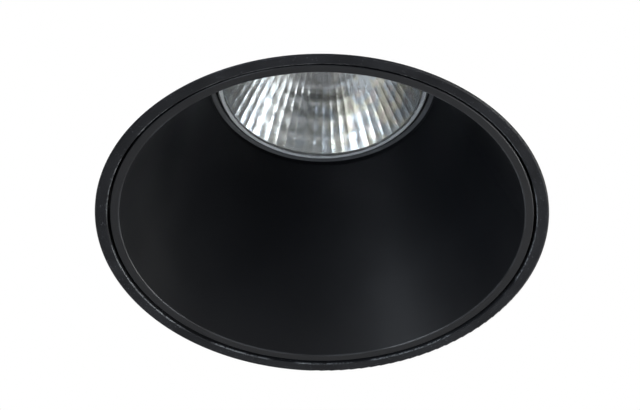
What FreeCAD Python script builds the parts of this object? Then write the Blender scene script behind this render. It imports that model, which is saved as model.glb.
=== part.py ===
import FreeCAD, Part
import math
import os

from FreeCAD import Vector

# A recessed soffit downlight with a deep black cone and a reflector lamp with two bayonet pins.
# Millimetres. Z is up and Z = 0 is the visible face of the trim ring, which looks down.
# The cone, the lamp, its housing and the terminal box tilt together inside the trim ring, about the Y axis.
# Two sprung clips, at +Y (right) and -Y (left), hold the ring up against the soffit board.

# ---------------------------------------------------------------- driving sizes

# trim ring
face_radius = 50.0  # outside of the visible flange
flange_width = 2.7  # of its face, from the outside to the bore
flange_thickness = 1.4
flange_edge_round = 0.45
bore_edge_round = 0.25
collar_wall = 1.0
collar_height = 22.0  # top of the collar, above the face
pad_wall = 1.2  # flat pads on the collar that carry the clips
pad_set_back = 0.9  # inner face of a pad, inside the collar's bore
pad_bottom = 10.0
pad_width = 20.0

# soffit gasket
gasket_thickness = 1.0
gasket_inset = 0.25  # from the flange's edge and from the collar

# rim of the tilting cone
rim_gap = 0.6  # shadow gap between the trim ring and the rim
rim_recess = 0.35  # the rim's face lies this far behind the trim's face
rim_width = 2.0
rim_thickness = 2.4
rim_edge_round = 0.25
skirt_wall = 1.0
skirt_height = 6.3

# tilt pivots
pivot_height = 3.5  # tilt axis, above the trim's face
pivot_pin_radius = 1.2
pivot_pin_grip = 1.9  # length pressed into the rim
pivot_boss_width = 8.0
pivot_boss_depth = 2.6
washer_radius = 2.2
washer_thickness = 0.3

# cone and neck
cone_wall = 1.1
neck_wall = 1.2
neck_height = 5.8
rear_flange_edge = 2.65  # from the middle of a housing screw to the flange's edge
rear_flange_thickness = 3.0

# lamp's front and bowl, a 50 mm reflector lamp
lamp_recess = 44.7  # the lamp's glass, above the trim's face
lamp_radius = 25.0
lamp_glass_inset = 0.5  # of the glass, inside the lamp's rim
lamp_glass_thickness = 1.6
lamp_glass_round = 0.6
lamp_rim_thickness = 2.6
lamp_rim_width = 2.4  # from the lamp's outside to the bowl's mouth
bowl_depth = 24.3  # from the glass to the bottom of the parabola
bowl_wall = 1.8
bowl_neck_length = 7.4  # how far the bowl's neck goes into the base
facet_columns = 64
facet_rows = 8
facet_growth = 1.1  # above 1, the rows get taller away from the glass

# lamp's burner, base and pins
capsule_radius = 4.4
capsule_length = 17.0
capsule_wall = 0.8
capsule_root = 5.5  # how far it goes into the base
capsule_pinch = 4.0  # solid part of its root
capsule_tip_radius = 1.3
filament_radius = 0.55
filament_wire_radius = 0.22
base_radius = 12.2
base_end_radius = 11.2
base_length = 18.5
base_straight_length = 6.5
lamp_pin_spacing = 10.0
lamp_pin_radius = 1.5
lamp_pin_grip = 4.9
lamp_pin_neck_length = 4.4
lamp_pin_head_radius = 2.5
lamp_pin_head_length = 2.6
lamp_twist = 22.0  # degrees from locked to released, anticlockwise as seen from below

# seat ring round the lamp
seat_ring_width = 1.05
seat_ring_set_back = 1.1  # its face lies this far behind the lamp's glass
seat_ring_lip = 1.9
seat_ring_lip_thickness = 1.0

# lamp housing
housing_radius = 29.8
housing_wall = 1.2
housing_top_thickness = 1.5
housing_gasket_thickness = 0.6
housing_flange_thickness = 1.5
housing_screw_count = 3
vent_count = 12
vent_width = 3.0
vent_height = 16.0
vent_lower = 8.0  # from the housing's flange to the first row of vents
vent_rows = 2
vent_row_gap = 7.0

# lamp holder
holder_edge_wall = 1.05  # outside the holes for its screw heads
holder_height = 14.4
holder_face_gap = 0.4  # between the lamp's base and the holder
holder_cavity_height = 5.0
holder_screw_circle = 9.5
holder_screw_turn = 50.0  # degrees round from +X, away from where the lamp's pins turn
contact_thickness = 0.5
contact_width = 3.0
contact_overlap = 2.1  # how far a contact reaches past the middle of its pin
lead_radius = 0.95
lead_set_out = 1.0  # from a lamp pin's line out to its lead's

# terminal box
box_length = 46.0
box_width = 32.0
box_wall = 1.6
box_corner_round = 2.4
box_inner_height = 16.0
box_screw_step_x = 5.5  # from a cover boss to the box's own screw beside it
box_screw_step_y = 3.5
cover_gasket_thickness = 0.8
cover_thickness = 1.6
cover_boss_radius = 2.9
cover_boss_sink = 1.0  # into the box's walls
cover_screw_length = 7.0  # in its boss

# terminal block and earth
terminal_end_wall = 2.5  # of the block, past its outer bores
terminal_block_width = 9.0
terminal_block_height = 10.0
terminal_block_set_back = 1.2  # from the box's back wall
terminal_bore_radius = 1.5
terminal_bore_depth = 6.0
lower_terminal_height = 3.4  # above the box's floor
upper_terminal_height = 7.2
terminal_screw_radius = 1.2
earth_screw_set_back = 5.9  # from the box's side wall
earth_tag_radius = 3.2
earth_tag_width = 2.8
earth_tag_reach = 6.0
earth_tag_thickness = 1.0

# cable gland
gland_bore_radius = 3.3
gland_seal_wall = 1.6
gland_seal_seat = 1.6  # depth of the seal's seat in the hexagon
gland_thread_radius = 6.0
gland_across_flats = 14.0
gland_hex_thickness = 3.6
gland_thread_in = 5.6
gland_thread_out = 6.0
gland_nut_hex_length = 5.7
gland_nut_dome_length = 3.8
gland_nut_mouth_radius = 5.1
gland_locknut_thickness = 3.0
gland_side_room = 0.8  # from the locknut's corner to the box's wall

# clip bracket, pin and rivets
bracket_thickness = 0.8
bracket_bottom = 10.8
bracket_ear_gap = 0.6  # between the arm's ears and the bracket's ears
ear_root_drop = 5.0  # from the collar's top to where the ears leave the plate
ear_root_reach = 3.0
clip_ear_radius = 2.7
clip_pin_radius = 1.25
clip_pin_head_radius = 1.9
clip_pin_head_thickness = 0.7
rivet_radius = 1.2
rivet_head_radius = 2.2
rivet_head_thickness = 0.5
rivet_spacing = 6.4
rivet_height = 14.5

# clip arm and foot
clip_angle = 30.0  # below the horizontal, at rest
arm_width = 12.0
arm_thickness = 1.0
arm_length = 40.0
arm_ear = 1.0
arm_notch_width = 3.2  # lets the spring's standing leg through
arm_notch_reach = 7.2
foot_length = 11.0
foot_overhang = 1.5  # past the end of the arm
foot_side_wall = 1.0  # of the foot, beside the arm
foot_thickness = 4.4
foot_round = 1.5

# clip spring
spring_wire = 1.0
spring_radius = 2.9
spring_pitch = 1.45
spring_turns = 4 + (270 - clip_angle) / 360  # leaves along the arm, after coming in straight up
spring_leg_in = 13.0
spring_leg_out = 9.0

# screws, all of one size
screw_radius = 1.45
screw_head_radius = 2.7
screw_head_height = 1.8
screw_recess_radius = 0.9
screw_recess_depth = 1.1

# clearances
running_clearance = 0.05  # between a pin and the hole that it turns in
thread_clearance = 0.04
screw_hole_clearance = 0.25
seat_clearance = 0.3  # between pieces that rest on each other but move apart
slip_clearance = 0.3  # round the lamp and its pins
push_clearance = 0.05  # between pieces that are pushed together
joint_clearance = 0.1
screw_stop = 0.3  # from a screw's point to the far side of what it screws into

# how far a cutting tool reaches past what it cuts
past = 1.0

# ---------------------------------------------------------------- places worked out from the sizes

thread_hole_radius = screw_radius + thread_clearance
screw_hole_radius = screw_radius + screw_hole_clearance
lead_hole_radius = lead_radius + screw_hole_clearance
cable_room_radius = gland_bore_radius + screw_hole_clearance

trim_bore_radius = face_radius - flange_width  # inside of the flange and of its collar
collar_radius = trim_bore_radius + collar_wall
pad_inner = trim_bore_radius - pad_set_back
pad_outer = pad_inner + pad_wall
gasket_top = flange_thickness + gasket_thickness

rim_radius = trim_bore_radius - rim_gap
mouth_radius = rim_radius - rim_width
rim_back = rim_recess + rim_thickness
skirt_top = rim_recess + skirt_height
skirt_bore_radius = rim_radius - skirt_wall
pivot_pin_start = rim_radius - pivot_pin_grip

seat_ring_inner = lamp_radius + slip_clearance
seat_ring_outer = seat_ring_inner + seat_ring_width
seat_ring_face = lamp_recess + seat_ring_set_back
neck_bore_radius = seat_ring_outer + push_clearance
neck_radius = neck_bore_radius + neck_wall
neck_bottom = lamp_recess - joint_clearance
neck_top = neck_bottom + neck_height
rear_flange_bottom = neck_top - rear_flange_thickness
cone_slope = (mouth_radius - neck_bore_radius) / (neck_bottom - rim_recess)
cone_wall_across = cone_wall * math.hypot(1.0, cone_slope)
cone_end = rim_recess + (mouth_radius + cone_wall_across - neck_radius) / cone_slope

lamp_glass_radius = lamp_radius - lamp_glass_inset
bowl_mouth_radius = lamp_radius - lamp_rim_width
bowl_bore_radius = capsule_radius + slip_clearance  # hole at the bottom of the bowl
bowl_rim_bottom = lamp_recess + lamp_glass_thickness
bowl_rim_top = bowl_rim_bottom + lamp_rim_thickness
bowl_bottom = bowl_rim_bottom + bowl_depth
base_start = bowl_bottom + bowl_wall + seat_clearance
base_end = base_start + base_length
bowl_neck_end = base_start + bowl_neck_length
capsule_top = base_start + capsule_root
capsule_centre = capsule_top - capsule_length + capsule_radius  # of its round end
pin_head_start = base_end + lamp_pin_neck_length
pin_end = pin_head_start + lamp_pin_head_length
lip_bottom = bowl_rim_top + seat_clearance
lip_top = lip_bottom + seat_ring_lip_thickness

housing_bottom = neck_top + housing_gasket_thickness
housing_flange_top = housing_bottom + housing_flange_thickness
housing_bore_radius = housing_radius - housing_wall
housing_screw_circle = housing_radius + screw_head_radius + screw_hole_clearance
rear_flange_radius = housing_screw_circle + rear_flange_edge
holder_radius = holder_screw_circle + screw_head_radius + screw_hole_clearance + holder_edge_wall
holder_bottom = base_end + holder_face_gap
holder_top = holder_bottom + holder_height
holder_plate_top = pin_head_start - seat_clearance
holder_cavity_top = holder_plate_top + holder_cavity_height
holder_screw_seat = holder_bottom + screw_head_height + seat_clearance
contact_bottom = pin_end + seat_clearance
contact_top = contact_bottom + contact_thickness
housing_top = holder_top + housing_top_thickness

box_floor = housing_top + box_wall
box_top = box_floor + box_inner_height
cover_bottom = box_top + cover_gasket_thickness
cover_top = cover_bottom + cover_thickness
box_inner_length = box_length - 2 * box_wall
box_inner_width = box_width - 2 * box_wall
cover_boss_x = box_inner_length / 2 - cover_boss_radius + cover_boss_sink
cover_boss_y = box_inner_width / 2 - cover_boss_radius + cover_boss_sink
box_screw_x = cover_boss_x - box_screw_step_x
box_screw_y = box_screw_step_y - cover_boss_y
earth_screw_y = earth_screw_set_back - box_inner_width / 2
lead_spacing = lamp_pin_spacing + 2 * lead_set_out
terminal_block_length = lead_spacing + 2 * (terminal_bore_radius + terminal_end_wall)
terminal_block_front = box_inner_width / 2 - terminal_block_set_back - terminal_block_width
terminal_block_middle = terminal_block_front + terminal_block_width / 2
terminal_block_top = box_floor + terminal_block_height
terminal_screw_bottom = box_floor + upper_terminal_height + lead_radius + push_clearance
lead_end_y = terminal_block_front + terminal_bore_depth - past
gland_height = box_floor + box_inner_height / 2
gland_y = gland_across_flats / math.sqrt(3) + gland_side_room - box_inner_width / 2

plate_face = pad_inner - bracket_thickness
plate_top = collar_height - joint_clearance
arm_gap = spring_radius + spring_wire / 2 + seat_clearance  # from the clip's pin to the arm's upper face
arm_underside = arm_gap + arm_thickness
arm_middle = arm_gap + arm_thickness / 2
arm_ear_face = arm_width / 2 - arm_ear
foot_width = arm_width + 2 * foot_side_wall
bracket_ear_inner = arm_width / 2 + bracket_ear_gap
bracket_half_width = bracket_ear_inner + bracket_thickness
clip_down = math.radians(clip_angle)
clip_pin_y = plate_face - seat_clearance - spring_wire / 2 - spring_radius
arm_over_collar = (collar_radius - clip_pin_y + arm_underside * math.sin(clip_down)) / math.cos(clip_down)
clip_pin_rise = arm_underside * math.cos(clip_down) + arm_over_collar * math.sin(clip_down)
clip_pin = Vector(0, clip_pin_y, collar_height + seat_clearance + clip_pin_rise)
arm_along = Vector(0, math.cos(clip_down), -math.sin(clip_down))
arm_across = Vector(0, math.sin(clip_down), math.cos(clip_down))

X_AXIS = Vector(1, 0, 0)
Y_AXIS = Vector(0, 1, 0)
Z_AXIS = Vector(0, 0, 1)
ORIGIN = Vector(0, 0, 0)
HALF_TURNS = (0, 180)
SIDES = (-1, 1)


def on_circle(radius, degrees):
    angle = math.radians(degrees)
    return radius * math.cos(angle), radius * math.sin(angle)


# (x, y) of each upright screw and lead
housing_screw_places = [
    on_circle(housing_screw_circle, k * 360.0 / housing_screw_count) for k in range(housing_screw_count)
]
holder_screw_places = [on_circle(holder_screw_circle, holder_screw_turn + turn) for turn in HALF_TURNS]
lead_places = [(side * lead_spacing / 2, 0.0) for side in SIDES]
lamp_pin_places = [(side * lamp_pin_spacing / 2, 0.0) for side in SIDES]
box_screw_places = [(side * box_screw_x, box_screw_y) for side in SIDES]
earth_screw_place = (0.0, earth_screw_y)
cover_screw_places = [
    (-cover_boss_x, -cover_boss_y),
    (-cover_boss_x, cover_boss_y),
    (cover_boss_x, cover_boss_y),
]
terminal_xs = [-lead_spacing / 2, 0.0, lead_spacing / 2]

# ---------------------------------------------------------------- helpers


def lathe(outline):
    """A solid turned about Z from a closed outline of (radius, height) points."""
    points = [Vector(radius, 0, height) for radius, height in outline]
    face = Part.Face(Part.makePolygon(points + points[:1]))
    return face.revolve(ORIGIN, Z_AXIS, 360)


def ring(inner, outer, bottom, top):
    return lathe([(inner, bottom), (outer, bottom), (outer, top), (inner, top)])


def rod(radius, start, end):
    """A round bar between two points."""
    way = end - start
    return Part.makeCylinder(radius, way.Length, start, way)


def post(radius, place, bottom, top):
    """A round bar along Z at an (x, y) place."""
    return rod(radius, Vector(*place, bottom), Vector(*place, top))


def box(x_range, y_range, z_range):
    size = [high - low for low, high in (x_range, y_range, z_range)]
    return Part.makeBox(*size, Vector(x_range[0], y_range[0], z_range[0]))


def hexagon(across_flats, start, end):
    """A hexagonal bar along X, with two flats facing up and down."""
    corner = across_flats / math.sqrt(3)
    points = [start + Vector(0, *on_circle(corner, 60 * k)) for k in range(6)]
    return Part.Face(Part.makePolygon(points + points[:1])).extrude(end - start)


def slab(outline, x_range):
    """A flat plate cut to an outline of (y, z) points, standing across X."""
    points = [Vector(x_range[0], y, z) for y, z in outline]
    return Part.Face(Part.makePolygon(points + points[:1])).extrude(X_AXIS * (x_range[1] - x_range[0]))


def turned(shape, degrees):
    """A copy turned about Z."""
    copy = shape.copy()
    copy.rotate(ORIGIN, Z_AXIS, degrees)
    return copy


def drill(body, radius, places, bottom, top):
    """Cuts a round hole along Z at each (x, y) place, with flat ends at these heights."""
    for place in places:
        body = body.cut(post(radius, place, bottom, top))
    return body


def drill_through(body, radius, places, bottom, top):
    """The same, through a wall that lies between these heights."""
    return drill(body, radius, places, bottom - past, top + past)


def round_rims(solid, size, places):
    """Rounds the circular edges about Z that lie at these (radius, height) places."""
    chosen = []
    for edge in solid.Edges:
        if isinstance(edge.Curve, Part.Circle):
            here = (edge.Curve.Radius, edge.Curve.Center.z)
            if any(math.dist(here, place) < 0.001 for place in places):
                chosen.append(edge)
    return solid.makeFillet(size, chosen)


def round_edges_along(solid, size, axis):
    """Rounds every straight edge that runs along an axis."""
    chosen = [edge for edge in solid.Edges if abs(edge.tangentAt(edge.FirstParameter).dot(axis)) > 0.9]
    return solid.makeFillet(size, chosen)


def screw(head_base, point):
    """A round-headed screw: its head stands on head_base, and its shank runs from there to point."""
    outwards = (head_base - point).normalize()
    head_end = head_base + outwards * screw_head_height
    recess = rod(screw_recess_radius, head_end - outwards * screw_recess_depth, head_end + outwards)
    return rod(screw_radius, head_base, point).fuse(rod(screw_head_radius, head_base, head_end)).cut(recess)


def upright_screws(places, head_base, point):
    return Part.makeCompound([screw(Vector(*place, head_base), Vector(*place, point)) for place in places])


def corner_arc(start, corner, end):
    """The arc from start to end that is tangent to both lines to the corner, which lies as far from each."""
    half_turn = (end - start).getAngle(corner - start)
    radius = (corner - start).Length / math.tan(half_turn)
    inward = ((start + end) * 0.5 - corner).normalize()
    middle = corner + inward * (radius / math.cos(half_turn) - radius)
    return Part.Arc(start, middle, end).toShape()


def double_arc(start, start_way, end, end_way):
    """Two arcs, tangent to each other, that leave start and reach end in the ways given."""
    chord = end - start
    along = chord.dot(start_way + end_way)
    spread = 2 * (1 - start_way.dot(end_way))
    reach = (math.sqrt(along**2 + spread * chord.dot(chord)) - along) / spread
    first, last = start + start_way * reach, end - end_way * reach
    middle = (first + last) * 0.5
    return [corner_arc(start, first, middle), corner_arc(middle, last, end)]


def sweep(radius, path, start, way):
    """A round wire or tube along a path of edges."""
    section = Part.Wire(Part.makeCircle(radius, start, way))
    return Part.Wire(path).makePipeShell([section], True, False)


def bent_tube(radius, start, corner, end, bend):
    """A round tube with one bend in it."""
    arriving = (corner - start).normalize()
    leaving = (end - corner).normalize()
    reach = bend * math.tan(arriving.getAngle(leaving) / 2)
    bend_start, bend_end = corner - arriving * reach, corner + leaving * reach
    path = [
        Part.LineSegment(start, bend_start).toShape(),
        corner_arc(bend_start, corner, bend_end),
        Part.LineSegment(bend_end, end).toShape(),
    ]
    return sweep(radius, path, start, arriving)


# ---------------------------------------------------------------- trim ring and its gasket


def make_trim_ring():
    """The visible flange and the collar that goes up through the soffit, with flat pads for the clips."""
    body = lathe([
        (trim_bore_radius, 0),
        (face_radius, 0),
        (face_radius, flange_thickness),
        (collar_radius, flange_thickness),
        (collar_radius, collar_height),
        (trim_bore_radius, collar_height),
    ])
    body = round_rims(body, flange_edge_round, [(face_radius, 0)])
    body = round_rims(body, bore_edge_round, [(trim_bore_radius, 0)])
    half = pad_width / 2
    pad = box((-half, half), (pad_inner, collar_radius), (pad_bottom, collar_height))
    pad = pad.common(Part.makeCylinder(collar_radius, collar_height))
    outside = box((-half, half), (pad_outer, face_radius), (pad_bottom, collar_height + past))
    for half_turn in HALF_TURNS:
        body = body.fuse(turned(pad, half_turn)).cut(turned(outside, half_turn))
        body = body.cut(turned(pivot_hole(running_clearance), half_turn))
        for place in rivet_places:
            end = place + Y_AXIS * (bracket_thickness + pad_wall + past)
            body = body.cut(turned(rod(rivet_radius + push_clearance, place, end), half_turn))
    return body.removeSplitter()


def pivot_hole(clearance):
    """The line of a pivot pin, from where the pin starts in the rim to past the collar."""
    start = Vector(0, pivot_pin_start, pivot_height)
    return rod(pivot_pin_radius + clearance, start, Vector(0, collar_radius + past, pivot_height))


def make_soffit_gasket():
    return ring(collar_radius + gasket_inset, face_radius - gasket_inset, flange_thickness, gasket_top)


# ---------------------------------------------------------------- tilting cone and its pivots


def cone_radius_at(height):
    return mouth_radius - cone_slope * (height - rim_recess)


def make_reflector_cone():
    """Rim, skirt, cone, neck and rear flange in one casting, with a boss for each pivot pin."""
    body = lathe([
        (mouth_radius, rim_recess),
        (rim_radius, rim_recess),
        (rim_radius, skirt_top),
        (skirt_bore_radius, skirt_top),
        (skirt_bore_radius, rim_back),
        (cone_radius_at(rim_back) + cone_wall_across, rim_back),
        (neck_radius, cone_end),
        (neck_radius, rear_flange_bottom),
        (rear_flange_radius, rear_flange_bottom),
        (rear_flange_radius, neck_top),
        (neck_bore_radius, neck_top),
        (neck_bore_radius, neck_bottom),
    ])
    body = round_rims(body, rim_edge_round, [(rim_radius, rim_recess), (mouth_radius, rim_recess)])
    inside = lathe([
        (0, rim_recess),
        (mouth_radius + cone_wall_across / 2, rim_recess),
        (neck_bore_radius + cone_wall_across / 2, neck_bottom),
        (0, neck_bottom),
    ])
    half = pivot_boss_width / 2
    boss = box(
        (-half, half),
        (rim_radius - pivot_boss_depth, rim_radius - skirt_wall / 2),
        (rim_back - rim_thickness / 4, skirt_top),
    ).cut(inside)
    for half_turn in HALF_TURNS:
        body = body.fuse(turned(boss, half_turn))
        body = body.cut(turned(pivot_hole(push_clearance), half_turn))
    body = drill_through(body, thread_hole_radius, housing_screw_places, rear_flange_bottom, neck_top)
    return body.removeSplitter()


def make_pivot_pins():
    """Two pins in one line along Y: pressed into the rim, turning in the collar."""
    start = Vector(0, pivot_pin_start + joint_clearance, pivot_height)
    pin = rod(pivot_pin_radius, start, Vector(0, collar_radius - joint_clearance, pivot_height))
    return Part.makeCompound([turned(pin, half_turn) for half_turn in HALF_TURNS])


def make_friction_washers():
    """Thin curved washers against the collar, round the pivot pins."""
    outer = trim_bore_radius - push_clearance
    line = (Vector(0, mouth_radius, pivot_height), Vector(0, collar_radius, pivot_height))
    washer = ring(outer - washer_thickness, outer, rim_recess, skirt_top).common(rod(washer_radius, *line))
    washer = washer.cut(rod(pivot_pin_radius + joint_clearance, *line))
    return Part.makeCompound([turned(washer, half_turn) for half_turn in HALF_TURNS])


def make_lamp_seat_ring():
    """Soft ring that centres the lamp in the neck; its lip lies behind the lamp's rim."""
    lip_radius = seat_ring_outer - seat_ring_lip
    return lathe([
        (seat_ring_inner, seat_ring_face),
        (seat_ring_outer, seat_ring_face),
        (seat_ring_outer, lip_top),
        (lip_radius, lip_top),
        (lip_radius, lip_bottom),
        (seat_ring_inner, lip_bottom),
    ])


# ---------------------------------------------------------------- lamp


def make_lamp_front_glass():
    glass = Part.makeCylinder(lamp_glass_radius, lamp_glass_thickness, Vector(0, 0, lamp_recess))
    return round_rims(glass, lamp_glass_round, [(lamp_glass_radius, lamp_recess)])


def bowl_height_at(radius):
    """Height of the bowl's parabola inside."""
    return bowl_bottom - bowl_depth * (radius / bowl_mouth_radius) ** 2


def bowl_radius_at(height):
    return bowl_mouth_radius * math.sqrt((bowl_bottom - height) / bowl_depth)


def facet_level(radius):
    """One level of the faceted bowl: a polygon with its corners on the parabola."""
    height = bowl_height_at(radius)
    points = [Vector(*on_circle(radius, k * 360.0 / facet_columns), height) for k in range(facet_columns)]
    return Part.makePolygon(points + points[:1])


def make_lamp_reflector():
    """Pressed glass bowl: a rim, a parabola and a short neck, with flat facets inside."""
    span = bowl_mouth_radius - bowl_bore_radius
    levels = [bowl_mouth_radius - span * (row / facet_rows) ** facet_growth for row in range(facet_rows + 1)]
    back = [(radius + bowl_wall, bowl_height_at(radius)) for radius in levels]
    neck_outer = bowl_bore_radius + bowl_wall
    body = lathe(
        [(0, bowl_rim_bottom), (lamp_radius, bowl_rim_bottom), (lamp_radius, bowl_rim_top)]
        + [(bowl_radius_at(bowl_rim_top) + bowl_wall, bowl_rim_top)]
        + [point for point in back if point[1] > bowl_rim_top + joint_clearance]
        + [(neck_outer, bowl_neck_end), (0, bowl_neck_end)]
    )
    body = body.cut(Part.makeLoft([facet_level(radius) for radius in levels], True, True))
    bore_start = bowl_height_at(bowl_bore_radius) - past
    return body.cut(post(bowl_bore_radius, (0, 0), bore_start, bowl_neck_end + past))


def make_lamp_capsule():
    """Quartz burner that stands in the bowl, with its sealed tip towards the glass."""
    def round_ended(radius, top):
        ball = Part.makeSphere(radius, Vector(0, 0, capsule_centre))
        return post(radius, (0, 0), capsule_centre, top).fuse(ball)

    tip_end = capsule_centre - capsule_radius - capsule_tip_radius
    tip = post(capsule_tip_radius / 2, (0, 0), tip_end, capsule_centre - capsule_radius + capsule_wall / 2)
    outside = round_ended(capsule_radius, capsule_top)
    inside = round_ended(capsule_radius - capsule_wall, capsule_top - capsule_pinch)
    return outside.fuse(tip).cut(inside).removeSplitter()


def make_lamp_filament():
    """The coiled filament and the two wires that hold it, inside the burner."""
    half = capsule_radius / 2
    body = rod(filament_radius, Vector(-half, 0, capsule_centre), Vector(half, 0, capsule_centre))
    for side in SIDES:
        place = (side * (half - filament_wire_radius), 0)
        body = body.fuse(post(filament_wire_radius, place, capsule_centre, capsule_top - capsule_pinch))
    return body.removeSplitter()


def make_lamp_base():
    """Ceramic base cemented round the bowl's neck."""
    body = lathe([
        (0, base_start),
        (base_radius, base_start),
        (base_radius, base_start + base_straight_length),
        (base_end_radius, base_end),
        (0, base_end),
    ])
    neck_room = bowl_bore_radius + bowl_wall + push_clearance
    body = body.cut(post(neck_room, (0, 0), base_start - past, bowl_neck_end + push_clearance))
    hole_radius = lamp_pin_radius + push_clearance
    return drill(body, hole_radius, lamp_pin_places, base_end - lamp_pin_grip, base_end + past)


def make_lamp_pins():
    """Two pins with wider heads, pressed into the base."""
    pins = []
    for place in lamp_pin_places:
        neck = post(lamp_pin_radius, place, base_end - lamp_pin_grip, pin_head_start)
        head = post(lamp_pin_head_radius, place, pin_head_start, pin_end)
        pins.append(neck.fuse(head).removeSplitter())
    return Part.makeCompound(pins)


# ---------------------------------------------------------------- housing


def make_housing_gasket():
    body = ring(housing_bore_radius, rear_flange_radius, neck_top, housing_bottom)
    return drill_through(body, screw_hole_radius, housing_screw_places, neck_top, housing_bottom)


def make_lamp_housing():
    """Vented can over the lamp, open below, with a flange for its screws and a flat top."""
    body = lathe([
        (housing_bore_radius, housing_bottom),
        (rear_flange_radius, housing_bottom),
        (rear_flange_radius, housing_flange_top),
        (housing_radius, housing_flange_top),
        (housing_radius, housing_top),
        (0, housing_top),
        (0, holder_top),
        (housing_bore_radius, holder_top),
    ])
    for row in range(vent_rows):
        low = housing_flange_top + vent_lower + row * (vent_height + vent_row_gap)
        for k in range(vent_count):
            body = body.cut(turned(vent_slot(low), (k + 0.5) * 360.0 / vent_count))
    body = drill_through(body, screw_hole_radius, housing_screw_places, housing_bottom, housing_flange_top)
    into_top = holder_screw_places + box_screw_places + [earth_screw_place]
    body = drill_through(body, thread_hole_radius, into_top, holder_top, housing_top)
    return drill_through(body, lead_hole_radius, lead_places, holder_top, housing_top)


def vent_slot(low):
    """One round-ended slot through the housing's wall, on the +X side."""
    half = vent_width / 2
    inner, outer = housing_bore_radius - past, housing_radius + past
    ends = (low + half, low + vent_height - half)
    slot = box((inner, outer), (-half, half), ends)
    return slot.fuse([rod(half, Vector(inner, 0, z), Vector(outer, 0, z)) for z in ends])


def make_housing_screws():
    return upright_screws(housing_screw_places, housing_flange_top, rear_flange_bottom + screw_stop)


# ---------------------------------------------------------------- lamp holder


def pin_sweep(radius, bottom, top):
    """The room that something on a lamp pin's line takes while the lamp turns from locked to released."""
    circle = lamp_pin_spacing / 2
    track = ring(circle - radius, circle + radius, bottom, top)
    corners = [Vector(*on_circle(2 * holder_radius, angle), bottom) for angle in (0, -lamp_twist)]
    wedge = Part.Face(Part.makePolygon([Vector(0, 0, bottom)] + corners + [Vector(0, 0, bottom)]))
    start = post(radius, (circle, 0), bottom, top)
    swept = track.common(wedge.extrude(Z_AXIS * (top - bottom)))
    return swept.fuse([start, turned(start, -lamp_twist)]).removeSplitter()


def both_sides(body, tool):
    """Cuts a tool away from the body, and its copy half a turn round."""
    for half_turn in HALF_TURNS:
        body = body.cut(turned(tool, half_turn))
    return body


def make_holder_face():
    """Lower half of the ceramic holder, with keyholes for the lamp's pins and sunk holes for its screws."""
    slot = pin_sweep(lamp_pin_radius + slip_clearance, holder_bottom - past, holder_plate_top + past)
    entry_place = on_circle(lamp_pin_spacing / 2, -lamp_twist)
    entry_radius = lamp_pin_head_radius + slip_clearance
    entry = post(entry_radius, entry_place, holder_bottom - past, holder_plate_top + past)
    body = post(holder_radius, (0, 0), holder_bottom, holder_plate_top)
    body = both_sides(both_sides(body, slot), entry)
    head_hole_radius = screw_head_radius + screw_hole_clearance
    body = drill(body, head_hole_radius, holder_screw_places, holder_bottom - past, holder_screw_seat)
    return drill_through(body, screw_hole_radius, holder_screw_places, holder_bottom, holder_plate_top)


def make_lamp_holder():
    """Upper half of the ceramic holder, with a cavity for each pin's head and its contact."""
    cavity = pin_sweep(lamp_pin_head_radius + slip_clearance, holder_plate_top - past, holder_cavity_top)
    body = both_sides(post(holder_radius, (0, 0), holder_plate_top, holder_top), cavity)
    body = drill_through(body, screw_hole_radius, holder_screw_places, holder_plate_top, holder_top)
    return drill(body, lead_hole_radius, lead_places, holder_plate_top, holder_top + past)


def make_holder_contacts():
    """A leaf over each pin head, under the end of its lead."""
    half = contact_width / 2
    middle = lamp_pin_spacing / 2
    x_range = (middle - contact_overlap, middle + contact_overlap)
    leaf = box(x_range, (-half, half), (contact_bottom, contact_top))
    return Part.makeCompound([turned(leaf, half_turn) for half_turn in HALF_TURNS])


def make_holder_screws():
    return upright_screws(holder_screw_places, holder_screw_seat, housing_top - screw_stop)


def make_lamp_lead(side):
    """An insulated lead from a holder contact, up through the housing and into the terminal block."""
    x = side * lead_spacing / 2
    height = box_floor + lower_terminal_height
    return bent_tube(
        lead_radius,
        Vector(x, 0, contact_top),
        Vector(x, 0, height),
        Vector(x, lead_end_y, height),
        lower_terminal_height - joint_clearance,
    )


# ---------------------------------------------------------------- terminal box


def box_layer(bottom, top):
    """A rounded block as large as the terminal box, between two heights."""
    body = box((-box_length / 2, box_length / 2), (-box_width / 2, box_width / 2), (bottom, top))
    return round_edges_along(body, box_corner_round, Z_AXIS)


def box_hollow(bottom, top):
    """The room between the box's walls and round the bosses for the cover's screws."""
    half_length, half_width = box_inner_length / 2, box_inner_width / 2
    hollow = box((-half_length, half_length), (-half_width, half_width), (bottom, top))
    return drill(hollow, cover_boss_radius, cover_screw_places, bottom, top)


def gland_at(outwards):
    """A point on the gland's axis, so far out from the box's wall."""
    return Vector(box_length / 2 + outwards, gland_y, gland_height)


def make_terminal_box():
    """Open-topped box on the housing, with bosses for the cover's screws and a hole for the gland."""
    body = box_layer(housing_top, box_top).cut(box_hollow(box_floor, box_top + past))
    body = drill(body, thread_hole_radius, cover_screw_places, box_top - cover_screw_length, box_top + past)
    body = drill_through(body, lead_hole_radius, lead_places, housing_top, box_floor)
    floor_screws = box_screw_places + [earth_screw_place]
    body = drill_through(body, screw_hole_radius, floor_screws, housing_top, box_floor)
    return body.cut(rod(gland_thread_radius + push_clearance, gland_at(-box_wall - past), gland_at(past)))


def make_box_screws():
    return upright_screws(box_screw_places, box_floor, holder_top + screw_stop)


def make_earth_screw():
    return upright_screws([earth_screw_place], box_floor + earth_tag_thickness, holder_top + screw_stop)


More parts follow.
